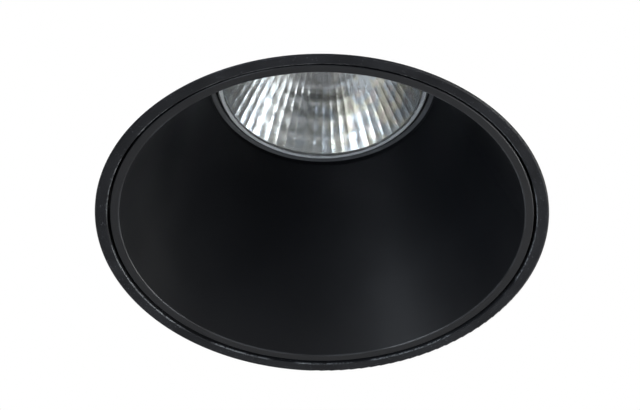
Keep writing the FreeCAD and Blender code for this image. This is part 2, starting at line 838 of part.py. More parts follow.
def make_earth_tag():
    """Ring tag under the earth screw's head, with a tail for its lead."""
    half = earth_tag_width / 2
    top = box_floor + earth_tag_thickness
    tail = box((-half, half), (earth_screw_y, earth_screw_y + earth_tag_reach), (box_floor, top))
    body = post(earth_tag_radius, earth_screw_place, box_floor, top).fuse(tail)
    return drill_through(body, thread_hole_radius, [earth_screw_place], box_floor, top).removeSplitter()


def make_earth_lead():
    """From the earth tag, up and over into the middle terminal."""
    bottom = box_floor + earth_tag_thickness
    height = box_floor + upper_terminal_height
    y = earth_screw_y + earth_tag_reach - lead_radius - joint_clearance
    return bent_tube(
        lead_radius,
        Vector(0, y, bottom),
        Vector(0, y, height),
        Vector(0, lead_end_y, height),
        height - bottom - joint_clearance,
    )


def make_terminal_block():
    """Three-way block: lamp leads enter low, supply conductors above them, clamp screws from the top."""
    half = terminal_block_length / 2
    back = terminal_block_front + terminal_block_width
    body = box((-half, half), (terminal_block_front, back), (box_floor, terminal_block_top))
    for x in terminal_xs:
        for height in (box_floor + lower_terminal_height, box_floor + upper_terminal_height):
            start = Vector(x, terminal_block_front - past, height)
            body = body.cut(rod(terminal_bore_radius, start, start + Y_AXIS * (terminal_bore_depth + past)))
    clamps = [(x, terminal_block_middle) for x in terminal_xs]
    radius = terminal_screw_radius + joint_clearance
    return drill(body, radius, clamps, terminal_screw_bottom - joint_clearance, terminal_block_top + past)


def make_terminal_screws():
    clamps = [(x, terminal_block_middle) for x in terminal_xs]
    top = terminal_block_top - screw_stop
    screws = [post(terminal_screw_radius, place, terminal_screw_bottom, top) for place in clamps]
    return Part.makeCompound(screws)


def make_cover_gasket():
    body = box_layer(box_top, cover_bottom).cut(box_hollow(box_top - past, cover_bottom + past))
    return drill_through(body, screw_hole_radius, cover_screw_places, box_top, cover_bottom)


def make_terminal_cover():
    cover = box_layer(cover_bottom, cover_top)
    return drill_through(cover, screw_hole_radius, cover_screw_places, cover_bottom, cover_top)


def make_cover_screws():
    return upright_screws(cover_screw_places, cover_top, box_top - cover_screw_length + screw_stop)


# ---------------------------------------------------------------- cable gland


def make_gland_body():
    """Hexagon against the box's wall, with a thread through the wall and another for the nut."""
    thread_start, thread_end = gland_at(-gland_thread_in), gland_at(gland_hex_thickness + gland_thread_out)
    body = hexagon(gland_across_flats, gland_at(0), gland_at(gland_hex_thickness))
    body = body.fuse(rod(gland_thread_radius, thread_start, thread_end))
    body = body.cut(rod(cable_room_radius, thread_start - X_AXIS * past, gland_at(gland_hex_thickness)))
    seal_seat = gland_at(gland_hex_thickness - gland_seal_seat)
    seal_room_radius = gland_bore_radius + gland_seal_wall + push_clearance
    return body.cut(rod(seal_room_radius, seal_seat, thread_end + X_AXIS * past)).removeSplitter()


def make_gland_seal():
    start, end = gland_hex_thickness - gland_seal_seat, gland_hex_thickness + gland_thread_out
    body = rod(gland_bore_radius + gland_seal_wall, gland_at(start), gland_at(end))
    return body.cut(rod(gland_bore_radius, gland_at(start - past), gland_at(end + past)))


def make_gland_nut():
    """Dome nut: hexagonal where a spanner goes, round at its mouth."""
    start = gland_at(gland_hex_thickness + seat_clearance)
    shoulder = start + X_AXIS * gland_nut_hex_length
    end = shoulder + X_AXIS * gland_nut_dome_length
    dome_base = gland_across_flats / 2
    dome = Part.makeCone(dome_base, gland_nut_mouth_radius, gland_nut_dome_length, shoulder, X_AXIS)
    body = hexagon(gland_across_flats, start, shoulder).fuse(dome)
    thread_end = gland_at(gland_hex_thickness + gland_thread_out + joint_clearance)
    body = body.cut(rod(gland_thread_radius + thread_clearance, start - X_AXIS * past, thread_end))
    return body.cut(rod(cable_room_radius, start, end + X_AXIS * past)).removeSplitter()


def make_gland_locknut():
    start, end = gland_at(-box_wall - gland_locknut_thickness), gland_at(-box_wall)
    hole = rod(gland_thread_radius + thread_clearance, start - X_AXIS * past, end + X_AXIS * past)
    return hexagon(gland_across_flats, start, end).cut(hole)


# ---------------------------------------------------------------- spring clips, made at +Y

# where the rivets meet the inner face of the bracket's plate
rivet_places = [Vector(side * rivet_spacing / 2, plate_face, rivet_height) for side in SIDES]


def clip_pin_line(radius, half_length):
    """A round bar along the clip's pin."""
    return rod(radius, clip_pin - X_AXIS * half_length, clip_pin + X_AXIS * half_length)


def clip_eye(x_range):
    """The round end of an ear, round the clip's pin."""
    start, end = clip_pin + X_AXIS * x_range[0], clip_pin + X_AXIS * x_range[1]
    return rod(clip_ear_radius, start, end)


def make_clip_bracket():
    """Folded steel: a plate riveted to the collar's pad, and two ears that hold the pin."""
    x_range = (-bracket_half_width, bracket_half_width)
    body = box(x_range, (plate_face, pad_inner), (bracket_bottom, plate_top))
    for place in rivet_places:
        body = body.cut(rod(rivet_radius + push_clearance, place - Y_AXIS * past, place + Y_AXIS * pad_wall))
    ear_outline = [
        (pad_inner, plate_top - ear_root_drop),
        (pad_inner, plate_top),
        (clip_pin.y + clip_ear_radius, clip_pin.z),
        (clip_pin.y - clip_ear_radius, clip_pin.z),
        (plate_face - ear_root_reach, plate_top - ear_root_drop),
    ]
    for side in SIDES:
        x_range = sorted((side * bracket_ear_inner, side * bracket_half_width))
        body = body.fuse([slab(ear_outline, x_range), clip_eye(x_range)])
    return body.cut(clip_pin_line(clip_pin_radius + push_clearance, arm_width)).removeSplitter()


def make_clip_pin():
    reach = bracket_half_width + joint_clearance
    body = clip_pin_line(clip_pin_radius, reach)
    for side in SIDES:
        head_start = clip_pin + X_AXIS * (side * reach)
        head_end = head_start + X_AXIS * (side * clip_pin_head_thickness)
        body = body.fuse(rod(clip_pin_head_radius, head_start, head_end))
    return body.removeSplitter()


def arm_plate(along_range, across_range, x_range):
    """A straight plate in the arm's own directions, measured from the clip's pin."""
    corners = [
        clip_pin + arm_along * along + arm_across * across
        for along, across in (
            (along_range[0], across_range[0]),
            (along_range[1], across_range[0]),
            (along_range[1], across_range[1]),
            (along_range[0], across_range[1]),
        )
    ]
    return slab([(corner.y, corner.z) for corner in corners], x_range)


def make_clip_arm():
    """Stamped arm that lies under the spring, with an ear each side of it for the pin."""
    half = arm_width / 2
    body = arm_plate((-clip_ear_radius, arm_length), (-arm_underside, -arm_gap), (-half, half))
    for side in SIDES:
        x_range = sorted((side * arm_ear_face, side * half))
        web = arm_plate((-clip_ear_radius, clip_ear_radius), (-arm_underside, 0), x_range)
        body = body.fuse([web, clip_eye(x_range)])
    notch = arm_plate(
        (-clip_ear_radius - past, arm_notch_reach),
        (-arm_underside - past, -arm_gap + past),
        (-arm_ear_face, arm_notch_width - arm_ear_face),
    )
    return body.cut(notch).cut(clip_pin_line(clip_pin_radius + running_clearance, arm_width)).removeSplitter()


def make_clip_foot():
    """Moulded boot over the end of the arm, which presses on the soffit board."""
    end = arm_length + foot_overhang
    start = end - foot_length
    across = (-arm_middle - foot_thickness / 2, -arm_middle + foot_thickness / 2)
    body = arm_plate((start, end), across, (-foot_width / 2, foot_width / 2))
    body = round_edges_along(body, foot_round, X_AXIS)
    half = arm_width / 2 + push_clearance
    socket = arm_plate(
        (start - past, arm_length + push_clearance),
        (-arm_underside - push_clearance, -arm_gap + push_clearance),
        (-half, half),
    )
    return body.cut(socket)


def coil_point(turn):
    """A point on the middle of the spring's wire, so many turns from where the coil starts."""
    around = on_circle(spring_radius, 360.0 * turn)
    return clip_pin + Vector((turn - spring_turns / 2) * spring_pitch, *around)


def coil_way(turn):
    """The way that the wire goes there."""
    around = on_circle(spring_radius, 360.0 * turn + 90)
    return Vector(spring_pitch / (2 * math.pi), *around).normalize()


def make_clip_spring():
    """Torsion spring: a leg down the bracket's plate, the coil round the pin, and a leg along the arm."""
    quarters = round(spring_turns * 4)
    turns = [k * spring_turns / quarters for k in range(quarters + 1)]
    start = coil_point(0) - coil_way(0) * spring_leg_in
    path = [Part.LineSegment(start, coil_point(0)).toShape()]
    for here, there in zip(turns, turns[1:]):
        path += double_arc(coil_point(here), coil_way(here), coil_point(there), coil_way(there))
    end = coil_point(spring_turns)
    path.append(Part.LineSegment(end, end + coil_way(spring_turns) * spring_leg_out).toShape())
    return sweep(spring_wire / 2, path, start, coil_way(0))


def print_spring_gap():
    """Measures the least gap between one turn of the spring and the next, on points of its middle line."""
    per_turn = 48
    points = [coil_point(k / per_turn) for k in range(int(spring_turns * per_turn) + 1)]
    gaps = [
        here.distanceToPoint(there)
        for k, here in enumerate(points)
        for there in points[k + per_turn // 2:]
    ]
    print("clip spring: least gap between turns %.2f mm" % (min(gaps) - spring_wire))


def make_clip_rivets():
    rivets = []
    for place in rivet_places:
        end = place + Y_AXIS * (bracket_thickness + pad_wall)
        rivet = rod(rivet_radius, place, end)
        rivet = rivet.fuse(rod(rivet_head_radius, place - Y_AXIS * rivet_head_thickness, place))
        rivet = rivet.fuse(rod(rivet_head_radius, end, end + Y_AXIS * rivet_head_thickness))
        rivets += [turned(rivet.removeSplitter(), half_turn) for half_turn in HALF_TURNS]
    return Part.makeCompound(rivets)


# ---------------------------------------------------------------- all pieces


def make_pieces():
    pieces = {
        "trim_ring": make_trim_ring(),
        "soffit_gasket": make_soffit_gasket(),
        "clip_rivets": make_clip_rivets(),
        "friction_washers": make_friction_washers(),
        "reflector_cone": make_reflector_cone(),
        "pivot_pins": make_pivot_pins(),
        "lamp_seat_ring": make_lamp_seat_ring(),
        "lamp_front_glass": make_lamp_front_glass(),
        "lamp_reflector": make_lamp_reflector(),
        "lamp_capsule": make_lamp_capsule(),
        "lamp_filament": make_lamp_filament(),
        "lamp_base": make_lamp_base(),
        "lamp_pins": make_lamp_pins(),
        "lamp_housing": make_lamp_housing(),
        "housing_gasket": make_housing_gasket(),
        "housing_screws": make_housing_screws(),
        "holder_face": make_holder_face(),
        "lamp_holder": make_lamp_holder(),
        "holder_contacts": make_holder_contacts(),
        "holder_screws": make_holder_screws(),
        "live_lead": make_lamp_lead(-1),
        "neutral_lead": make_lamp_lead(1),
        "earth_lead": make_earth_lead(),
        "earth_screw": make_earth_screw(),
        "earth_tag": make_earth_tag(),
        "terminal_box": make_terminal_box(),
        "box_screws": make_box_screws(),
        "terminal_block": make_terminal_block(),
        "terminal_screws": make_terminal_screws(),
        "cover_gasket": make_cover_gasket(),
        "terminal_cover": make_terminal_cover(),
        "cover_screws": make_cover_screws(),
        "gland_body": make_gland_body(),
        "gland_seal": make_gland_seal(),
        "gland_nut": make_gland_nut(),
        "gland_locknut": make_gland_locknut(),
    }
    clip = {
        "clip_bracket": make_clip_bracket(),
        "clip_pin": make_clip_pin(),
        "clip_spring": make_clip_spring(),
        "clip_arm": make_clip_arm(),
        "clip_foot": make_clip_foot(),
    }
    for name, shape in clip.items():
        pieces[name + "_right"] = shape
        pieces[name + "_left"] = turned(shape, 180)
    return pieces


def main():
    os.makedirs("parts", exist_ok=True)
    for name, shape in make_pieces().items():
        shape.exportStep("parts/" + name + ".step")
    print_spring_gap()


main()
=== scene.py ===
"""A recessed soffit downlight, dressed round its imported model: finishes, fine meshes, lights and camera.

Metres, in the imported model's own frame. Z is up. Z = 0 is the trim ring's visible face, which looks down.
"""

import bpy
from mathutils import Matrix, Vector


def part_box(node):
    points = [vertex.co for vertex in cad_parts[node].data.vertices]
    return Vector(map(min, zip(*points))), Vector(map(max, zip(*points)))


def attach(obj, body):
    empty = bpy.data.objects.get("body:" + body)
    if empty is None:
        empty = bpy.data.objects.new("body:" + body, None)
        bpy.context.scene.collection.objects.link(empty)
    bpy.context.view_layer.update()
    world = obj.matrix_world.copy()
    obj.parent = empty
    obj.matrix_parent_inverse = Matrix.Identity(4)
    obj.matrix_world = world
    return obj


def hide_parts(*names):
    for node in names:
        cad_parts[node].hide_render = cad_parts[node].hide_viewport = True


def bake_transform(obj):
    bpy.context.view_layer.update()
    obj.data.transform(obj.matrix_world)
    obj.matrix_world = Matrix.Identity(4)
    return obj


bl_info = {
    "name": "Soffit Downlight",
    "version": (1, 0, 0),
    "blender": (4, 5, 0),
    "location": "View3D > Sidebar > Downlight",
    "description": "Finishes and fine meshes of a recessed soffit downlight",
    "category": "Object",
}

import math

import bmesh
import bpy
from bpy.props import FloatProperty, FloatVectorProperty, IntProperty, PointerProperty
from mathutils import Matrix, Quaternion, Vector

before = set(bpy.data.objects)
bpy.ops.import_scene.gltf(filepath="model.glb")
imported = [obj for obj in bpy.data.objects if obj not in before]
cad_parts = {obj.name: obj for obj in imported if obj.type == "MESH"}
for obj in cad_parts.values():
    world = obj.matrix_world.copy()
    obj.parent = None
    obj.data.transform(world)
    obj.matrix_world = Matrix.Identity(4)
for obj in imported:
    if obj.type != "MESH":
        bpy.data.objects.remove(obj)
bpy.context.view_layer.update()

MM = 0.001
SIDES = {"right": Matrix.Rotation(0, 3, "Z"), "left": Matrix.Rotation(math.pi, 3, "Z")}  # from the clip at +Y
STAGE_REACH = 14.0  # metres, how far the floor and the board run

# ------------------------------------------------ sizes and colours that a user would change


def length(name, description, default):
    """A size in metres, given in millimetres."""
    size = default * MM
    return FloatProperty(name=name, description=description, default=size, precision=5, unit="LENGTH")


def number(name, description, default):
    return FloatProperty(name=name, description=description, default=default)


def count(name, description, default):
    return IntProperty(name=name, description=description, default=default)


def colour(name, description, default):
    return FloatVectorProperty(
        name=name, description=description, default=default, subtype="COLOR", size=3, min=0.0, max=1.0
    )


def angle(name, description, degrees):
    return FloatProperty(name=name, description=description, default=math.radians(degrees), subtype="ANGLE")


class DownlightTrim(bpy.types.PropertyGroup):
    """The trim ring and the cone."""

    coat: colour("Powder coat", "Colour of the trim ring", (0.0075, 0.0078, 0.0088))
    coat_grain: length("Coat grain", "Width of a grain of the powder coat", 0.42)
    cone_mouth: length("Cone mouth", "Radius of the edge where the rim's face turns into the cone", 44.8)
    ring_edge: length("Ring edge", "Radius of the ring's inner edge", 47.3)
    cone: colour("Cone", "Colour of the smooth cone", (0.0020, 0.0023, 0.0031))


class DownlightLamp(bpy.types.PropertyGroup):
    """The reflector lamp."""

    mouth_radius: length("Bowl mouth", "Inside radius of the bowl at the glass", 23.4)
    bowl_depth: length("Bowl depth", "From the bowl's mouth to the bottom of its parabola", 24.3)
    bowl_wall: length("Bowl wall", "Thickness of the pressed glass", 1.6)
    bore_radius: length("Bowl bore", "Radius of the hole at the bottom of the bowl", 4.7)
    facet_columns: count("Facets round", "Facets in one row of the bowl", 64)
    facet_rows: count("Facet rows", "Rows of facets, from mouth to bore", 8)
    facet_swell: length("Facet swell", "How far the middle of a facet stands out", 0.06)
    mirror: colour("Mirror", "Colour of the mirror coating", (0.70, 0.73, 0.76))
    glass_round: length("Glass edge", "Radius of the round on the front glass's edge", 0.6)
    ground_edge: length("Ground edge", "Width of the ground and cemented edge of the front glass", 1.1)


class DownlightClips(bpy.types.PropertyGroup):
    """The sprung clips."""

    pin_y: length("Clip pin Y", "From the middle of the light to a clip's pin", 41.9)
    pin_z: length("Clip pin Z", "Height of a clip's pin above the visible face", 31.422)
    wire: length("Spring wire", "Diameter of the springs' wire", 1.0)
    coil_radius: length("Coil radius", "To the middle of the wire", 2.9)
    pitch: length("Coil pitch", "From one turn to the next", 1.45)
    leg_in: length("Standing leg", "Leg that lies on the bracket", 13.0)
    leg_out: length("Moving leg", "Leg that lies on the arm", 9.0)
    droop: angle("Arm droop", "How far the arm points down at rest", 30.0)
    arm_length: length("Arm length", "From the pin to the end of the arm", 40.0)
    foot_length: length("Foot length", "Along the arm", 11.0)
    foot_thickness: length("Foot thickness", "Across the arm", 4.4)
    foot_overhang: length("Foot overhang", "Past the end of the arm", 1.5)
    foot_round: length("Foot round", "Radius of the foot's corners", 1.5)


class DownlightScrews(bpy.types.PropertyGroup):
    """The screws of the housing and of the terminal box's cover."""

    head_radius: length("Head radius", "Of a screw's head", 2.7)
    head_height: length("Head height", "Of a screw's head", 1.8)
    ring_radius: length("Housing screws", "From the middle of the light to a housing screw", 32.75)
    cover_x: length("Cover screws X", "From the middle of the box to a cover screw", 19.5)
    cover_y: length("Cover screws Y", "From the middle of the box to a cover screw", 12.5)


class DownlightStage(bpy.types.PropertyGroup):
    """Floor, lights and camera."""

    camera_distance: length("Camera distance", "From the middle of the visible face", 600.0)
    camera_dip: angle("Camera dip", "How far below the horizontal the camera stands", 44.1)
    focal_length: number("Focal length", "Of the lens, in millimetres", 153.17)
    floor_drop: length("Floor", "How far the floor lies below the visible face", 1900.0)
    soffit_top: length("Soffit board", "Height of the board's upper face above the visible face", 4.5)
    ambient: number("Ambient light", "Strength of the surroundings", 0.35)


# ------------------------------------------------ shader nodes


def find_socket(sockets, key):
    """The socket with that number, identifier or name."""
    if isinstance(key, int):
        return sockets[key]
    for socket in sockets:
        if socket.identifier == key:
            return socket
    return sockets[key]


class Signal:
    """An output socket. Arithmetic on it adds Math nodes."""

    def __init__(self, nodes, socket):
        self.nodes = nodes
        self.socket = socket

    def __add__(self, other):
        return self.nodes.maths("ADD", self, other)

    def __sub__(self, other):
        return self.nodes.maths("SUBTRACT", self, other)

    def __rsub__(self, other):
        return self.nodes.maths("SUBTRACT", other, self)

    def __mul__(self, other):
        return self.nodes.maths("MULTIPLY", self, other)

    def __gt__(self, other):
        return self.nodes.maths("GREATER_THAN", self, other)

    def __lt__(self, other):
        return self.nodes.maths("LESS_THAN", self, other)

    __radd__ = __add__
    __rmul__ = __mul__


class Nodes:
    """A node tree of a material or of the world."""

    def __init__(self, tree):
        self.tree = tree
        self.tree.nodes.clear()

    def add(self, kind, settings=None, inputs=None, output=0):
        """Adds a node, sets it up, fills or links its sockets, and returns one of its outputs."""
        node = self.tree.nodes.new(kind)
        for key, value in (settings or {}).items():
            setattr(node, key, value)
        for key, value in (inputs or {}).items():
            socket = find_socket(node.inputs, key)
            if isinstance(value, Signal):
                self.tree.links.new(value.socket, socket)
            else:
                socket.default_value = value
        return Signal(self, find_socket(node.outputs, output)) if node.outputs else None

    def maths(self, operation, first, second=0.0):
        return self.add("ShaderNodeMath", {"operation": operation}, {0: first, 1: second})

    def position(self):
        """Where on the object, in metres."""
        return self.add("ShaderNodeTexCoord", output="Object")

    def stretched(self, factors):
        """The position with each axis scaled, so that marks run along the axes with small factors."""
        return self.add("ShaderNodeVectorMath", {"operation": "MULTIPLY"}, {0: self.position(), 1: factors})

    def parts(self, vector):
        """X, Y and Z of a vector."""
        first = self.add("ShaderNodeSeparateXYZ", inputs={0: vector})
        return [Signal(self, socket) for socket in first.socket.node.outputs]

    def place(self):
        """X, Y and Z on the object, and the distance from its Z axis."""
        x, y, z = self.parts(self.position())
        return x, y, z, self.maths("SQRT", x * x + y * y)

    def turned_position(self, round_the_axis=0.02 * MM):
        """Distance from Z, height and a little of the angle, for marks that run round the Z axis."""
        x, y, z, radius = self.place()
        turn = self.maths("ARCTAN2", y, x) * round_the_axis
        return self.add("ShaderNodeCombineXYZ", inputs={0: radius, 1: z, 2: turn})

    def noise(self, cell, detail=2.0, where=None):
        """Noise about 0.5, with features about as wide as cell."""
        place = where or self.position()
        inputs = {"Vector": place, "Scale": 1.0 / cell, "Detail": detail}
        return self.add("ShaderNodeTexNoise", inputs=inputs, output="Fac")

    def cells(self, cell, feature="F1"):
        """Distance to the middle of the nearest cell, in widths of a cell."""
        inputs = {"Vector": self.position(), "Scale": 1.0 / cell}
        return self.add("ShaderNodeTexVoronoi", {"feature": feature}, inputs, output="Distance")

    def smooth(self, value, low, high, bottom=0.0, top=1.0):
        """Value eased from bottom at low to top at high."""
        inputs = {"Value": value, "From Min": low, "From Max": high, "To Min": bottom, "To Max": top}
        return self.add("ShaderNodeMapRange", {"interpolation_type": "SMOOTHSTEP"}, inputs)

    def spread(self, noise, bottom=0.0, top=1.0):
        """Noise drawn out so that it often reaches bottom and top."""
        return self.smooth(noise, 0.3, 0.7, bottom, top)

    def mix(self, factor, first, second):
        """A colour between two."""
        inputs = {"Factor_Float": factor, "A_Color": as_colour(first), "B_Color": as_colour(second)}
        return self.add("ShaderNodeMix", {"data_type": "RGBA"}, inputs, output="Result_Color")

    def bump(self, height, distance, strength=1.0, edge=0.0):
        """A normal from a height of 0 to 1 times distance, on a surface whose edges are rounded by edge."""
        inputs = {"Height": height, "Distance": distance, "Strength": strength}
        if edge:
            inputs["Normal"] = self.add("ShaderNodeBevel", {"samples": 6}, {"Radius": edge})
        return self.add("ShaderNodeBump", inputs=inputs)

    def surface(self, base, roughness, metallic=0.0, normal=None, **constants):
        """The shader that the material ends in."""
        inputs = {"Base Color": as_colour(base), "Roughness": roughness, "Metallic": metallic}
        if normal:
            inputs["Normal"] = normal
        for name, value in constants.items():
            inputs[name.replace("_", " ")] = value
        shader = self.add("ShaderNodeBsdfPrincipled", inputs=inputs)
        self.add("ShaderNodeOutputMaterial", inputs={"Surface": shader})


def as_colour(value):
    """Three numbers as a colour with alpha; a Signal stays as it is."""
    return value if isinstance(value, Signal) else (*value[:3], 1.0)


def scaled(shade, factor):
    return tuple(min(1.0, channel * factor) for channel in shade[:3])


def new_finish(name):
    """An empty material, and its nodes."""
    old = bpy.data.materials.get(name)
    if old:
        bpy.data.materials.remove(old)
    material = bpy.data.materials.new(name)
    material.use_nodes = True
    return material, Nodes(material.node_tree)


# ------------------------------------------------ finishes


def powder_coat(name, shade, grain, edge_radius, wear_and_highlight_shade=(0.10, 0.105, 0.11)):
    """Black powder coat: orange-peel grain, pale specks painted in as glints, and a lighter line in places
    along the inner edge that is partly wear and partly a painted highlight.
    """
    material, nodes = new_finish(name)
    *_, z, radius = nodes.place()
    # The lighter line along the ring's inner edge: partly wear, partly a painted highlight of the edge,
    # broken into patches.
    along_edge = nodes.smooth(radius, edge_radius + 0.3 * MM, edge_radius + 0.1 * MM) * (z < 0.3 * MM)
    stretches = nodes.smooth(nodes.noise(14 * MM), 0.44, 0.54)
    chips = nodes.smooth(nodes.noise(0.5 * MM), 0.35, 0.6)
    wear_and_highlight = along_edge * stretches * chips
    peel = nodes.noise(grain, detail=3.0)
    patches = nodes.noise(9 * MM)
    # Pale specks in the base colour: painted glints of the coat's grain.
    specks = nodes.smooth(nodes.cells(1.5 * grain), 0.24, 0.10)
    base = nodes.mix(nodes.spread(patches), scaled(shade, 0.8), scaled(shade, 1.3))
    base = nodes.mix(specks * nodes.smooth(nodes.noise(3 * MM), 0.48, 0.6), base, scaled(shade, 7.0))
    base = nodes.mix(wear_and_highlight, base, wear_and_highlight_shade)
    roughness = nodes.spread(peel, 0.50, 0.30)
    normal = nodes.bump(peel, 0.3 * grain, 0.6, edge=0.2 * MM)
    nodes.surface(base, roughness, normal=normal, Specular_IOR_Level=0.06)
    return material


def satin_black(name, shade, edge_radius, rub_and_highlight_shade=(0.014, 0.015, 0.017)):
    """Smooth black paint with the faintest turning marks, and a lighter line in places along the mouth's edge
    that is partly rubbed paint and partly a painted highlight.
    """
    material, nodes = new_finish(name)
    *_, z, radius = nodes.place()
    # The lighter line along the mouth's edge: partly rubbed paint, partly a painted highlight of the edge.
    off_edge = nodes.maths("ABSOLUTE", radius - edge_radius)
    along_edge = nodes.smooth(off_edge, 0.24 * MM, 0.08 * MM) * (z < 0.9 * MM)
    rub_and_highlight = along_edge * nodes.smooth(nodes.noise(16 * MM), 0.42, 0.56)
    marks = nodes.noise(0.6 * MM, where=nodes.turned_position())
    clouds = nodes.noise(14 * MM)
    base = nodes.mix(clouds, scaled(shade, 0.9), scaled(shade, 1.1))
    base = nodes.mix(rub_and_highlight, base, rub_and_highlight_shade)
    roughness = nodes.spread(clouds, 0.40, 0.44) - rub_and_highlight * 0.08
    normal = nodes.bump(marks, 0.01 * MM, 0.12, edge=0.2 * MM)
    nodes.surface(base, roughness, normal=normal, Specular_IOR_Level=0.21)
    return material


def rubber(name, shade, grain=0.4 * MM):
    """Matt moulded rubber or soft plastic with a dusty bloom."""
    material, nodes = new_finish(name)
    pores = nodes.noise(grain, detail=4.0)
    bloom = nodes.smooth(nodes.noise(6 * MM, detail=3.0), 0.45, 0.75)
    base = nodes.mix(bloom, shade, scaled(shade, 1.7))
    roughness = nodes.spread(pores, 0.68, 0.86)
    nodes.surface(base, roughness, normal=nodes.bump(pores, 0.03 * MM, 0.5))
    return material


def moulded_plastic(name, shade, texture=0.22 * MM, gloss=0.42):
    """Moulded plastic with a fine spark-eroded texture and slight sheen."""
    material, nodes = new_finish(name)
    pits = nodes.noise(texture, detail=2.0)
    flow = nodes.noise(11 * MM, detail=2.0)
    scuffs = nodes.smooth(nodes.noise(0.5 * MM, where=nodes.stretched((1.0, 0.08, 0.4))), 0.62, 0.8)
    base = nodes.mix(flow, scaled(shade, 0.88), scaled(shade, 1.14))
    base = nodes.mix(scuffs * 0.25, base, scaled(shade, 1.9))
    roughness = nodes.spread(pits, gloss + 0.1, gloss - 0.04) + scuffs * 0.12
    nodes.surface(base, roughness, normal=nodes.bump(pits, 0.03 * MM, 0.45))
    return material


def zinc_plate(name, shade=(0.56, 0.58, 0.60)):
    """Zinc-plated steel: a faint spangle, rolling marks, and a yellow-blue passivation in places."""
    material, nodes = new_finish(name)
    rolling = nodes.noise(0.25 * MM, where=nodes.stretched((1.0, 0.05, 0.05)))
    spangle = nodes.cells(1.4 * MM)
    tint = nodes.noise(5 * MM, detail=3.0)
    base = nodes.mix(nodes.smooth(tint, 0.42, 0.68), shade, (0.60, 0.56, 0.45))
    base = nodes.mix(nodes.smooth(tint, 0.40, 0.22) * 0.5, base, (0.42, 0.50, 0.60))
    roughness = nodes.spread(rolling, 0.26, 0.42) + spangle * 0.08
    normal = nodes.bump(rolling, 0.012 * MM, 0.5)
    nodes.surface(base, roughness, 1.0, normal)
    return material


def drawn_wire(name, shade=(0.33, 0.33, 0.35)):
    """Spring steel wire with draw marks and a thin film of oil."""
    material, nodes = new_finish(name)
    marks = nodes.noise(0.12 * MM, where=nodes.stretched((1.0, 0.3, 0.3)))
    oil = nodes.noise(3 * MM)
    base = nodes.mix(nodes.smooth(oil, 0.4, 0.7), shade, scaled(shade, 0.55))
    nodes.surface(base, nodes.spread(marks, 0.2, 0.38), 1.0, nodes.bump(marks, 0.01 * MM, 0.5))
    return material


def spun_aluminium(name, shade=(0.56, 0.57, 0.59)):
    """Deep-drawn aluminium: fine rings round the axis and a few handling marks."""
    material, nodes = new_finish(name)
    rings = nodes.noise(0.22 * MM, detail=3.0, where=nodes.turned_position())
    bands = nodes.noise(2.2 * MM, where=nodes.turned_position())
    smears = nodes.smooth(nodes.noise(12 * MM, detail=4.0), 0.5, 0.75)
    base = nodes.mix(bands, scaled(shade, 0.9), scaled(shade, 1.08))
    base = nodes.mix(smears * 0.4, base, scaled(shade, 0.7))
    roughness = nodes.spread(rings, 0.27, 0.44) + smears * 0.1
    nodes.surface(base, roughness, 1.0, nodes.bump(rings, 0.015 * MM, 0.55))
    return material


def fired_ceramic(name, shade=(0.74, 0.72, 0.67)):
    """Unglazed steatite: pale, slightly speckled, chalky."""
    material, nodes = new_finish(name)
    pores = nodes.noise(0.18 * MM, detail=4.0)
    specks = nodes.smooth(nodes.cells(1.1 * MM), 0.14, 0.06)
    stain = nodes.smooth(nodes.noise(8 * MM, detail=3.0), 0.5, 0.75)
    base = nodes.mix(stain * 0.5, shade, (0.60, 0.55, 0.46))
    base = nodes.mix(specks * 0.55, base, (0.40, 0.36, 0.30))
    nodes.surface(base, nodes.spread(pores, 0.58, 0.8), normal=nodes.bump(pores, 0.03 * MM, 0.5))
    return material


def bright_metal(name, shade, tarnish, roughness=0.24):
    """Small turned or stamped pieces with a little tarnish."""
    material, nodes = new_finish(name)
    cloud = nodes.smooth(nodes.noise(1.6 * MM, detail=4.0), 0.48, 0.74)
    lines = nodes.noise(0.1 * MM, where=nodes.stretched((1.0, 1.0, 0.1)))
    base = nodes.mix(cloud, shade, tarnish)
    finish = nodes.spread(lines, roughness, roughness + 0.14) + cloud * 0.12
    nodes.surface(base, finish, 1.0, nodes.bump(lines, 0.008 * MM, 0.5))
    return material


def sleeving(name, shade):
    """Braided sleeve over a lead: two sets of threads that cross."""
    material, nodes = new_finish(name)
    x, y, z = nodes.parts(nodes.position())
    strand = 2 * math.pi / (0.5 * MM)
    over = nodes.maths("SINE", (x + y + z) * strand)
    under = nodes.maths("SINE", (x - y - z) * strand)
    braid = nodes.smooth(over * under, -0.6, 0.8)
    base = nodes.mix(braid, scaled(shade, 0.6), scaled(shade, 1.25))
    nodes.surface(base, nodes.smooth(braid, 0.0, 1.0, 0.75, 0.5), normal=nodes.bump(braid, 0.05 * MM, 0.7))
    return material


def clear_glass(name, tint, roughness=0.02):
    """Clear glass with a few faint smears."""
    material, nodes = new_finish(name)
    smears = nodes.smooth(nodes.noise(7 * MM, detail=3.0), 0.45, 0.75, roughness, roughness + 0.05)
    nodes.surface(tint, smears, IOR=1.5, Transmission_Weight=1.0)
    return material


def ground_glass(name, lip_radius, lip_blend=0.7 * MM, shade=(0.33, 0.345, 0.35)):
    """The ground edge of pressed glass, with grey cement behind it in uneven beads and a paler lip."""
    material, nodes = new_finish(name)
    *_, radius = nodes.place()
    beads = nodes.noise(1.2 * MM, detail=3.0)
    lip = nodes.smooth(radius, lip_radius - lip_blend, lip_radius)
    base = nodes.mix(nodes.smooth(beads, 0.35, 0.65), scaled(shade, 0.75), scaled(shade, 1.2))
    base = nodes.mix(lip, base, scaled(shade, 1.25))
    nodes.surface(base, nodes.spread(beads, 0.32, 0.18), normal=nodes.bump(beads, 0.05 * MM, 0.5))
    return material


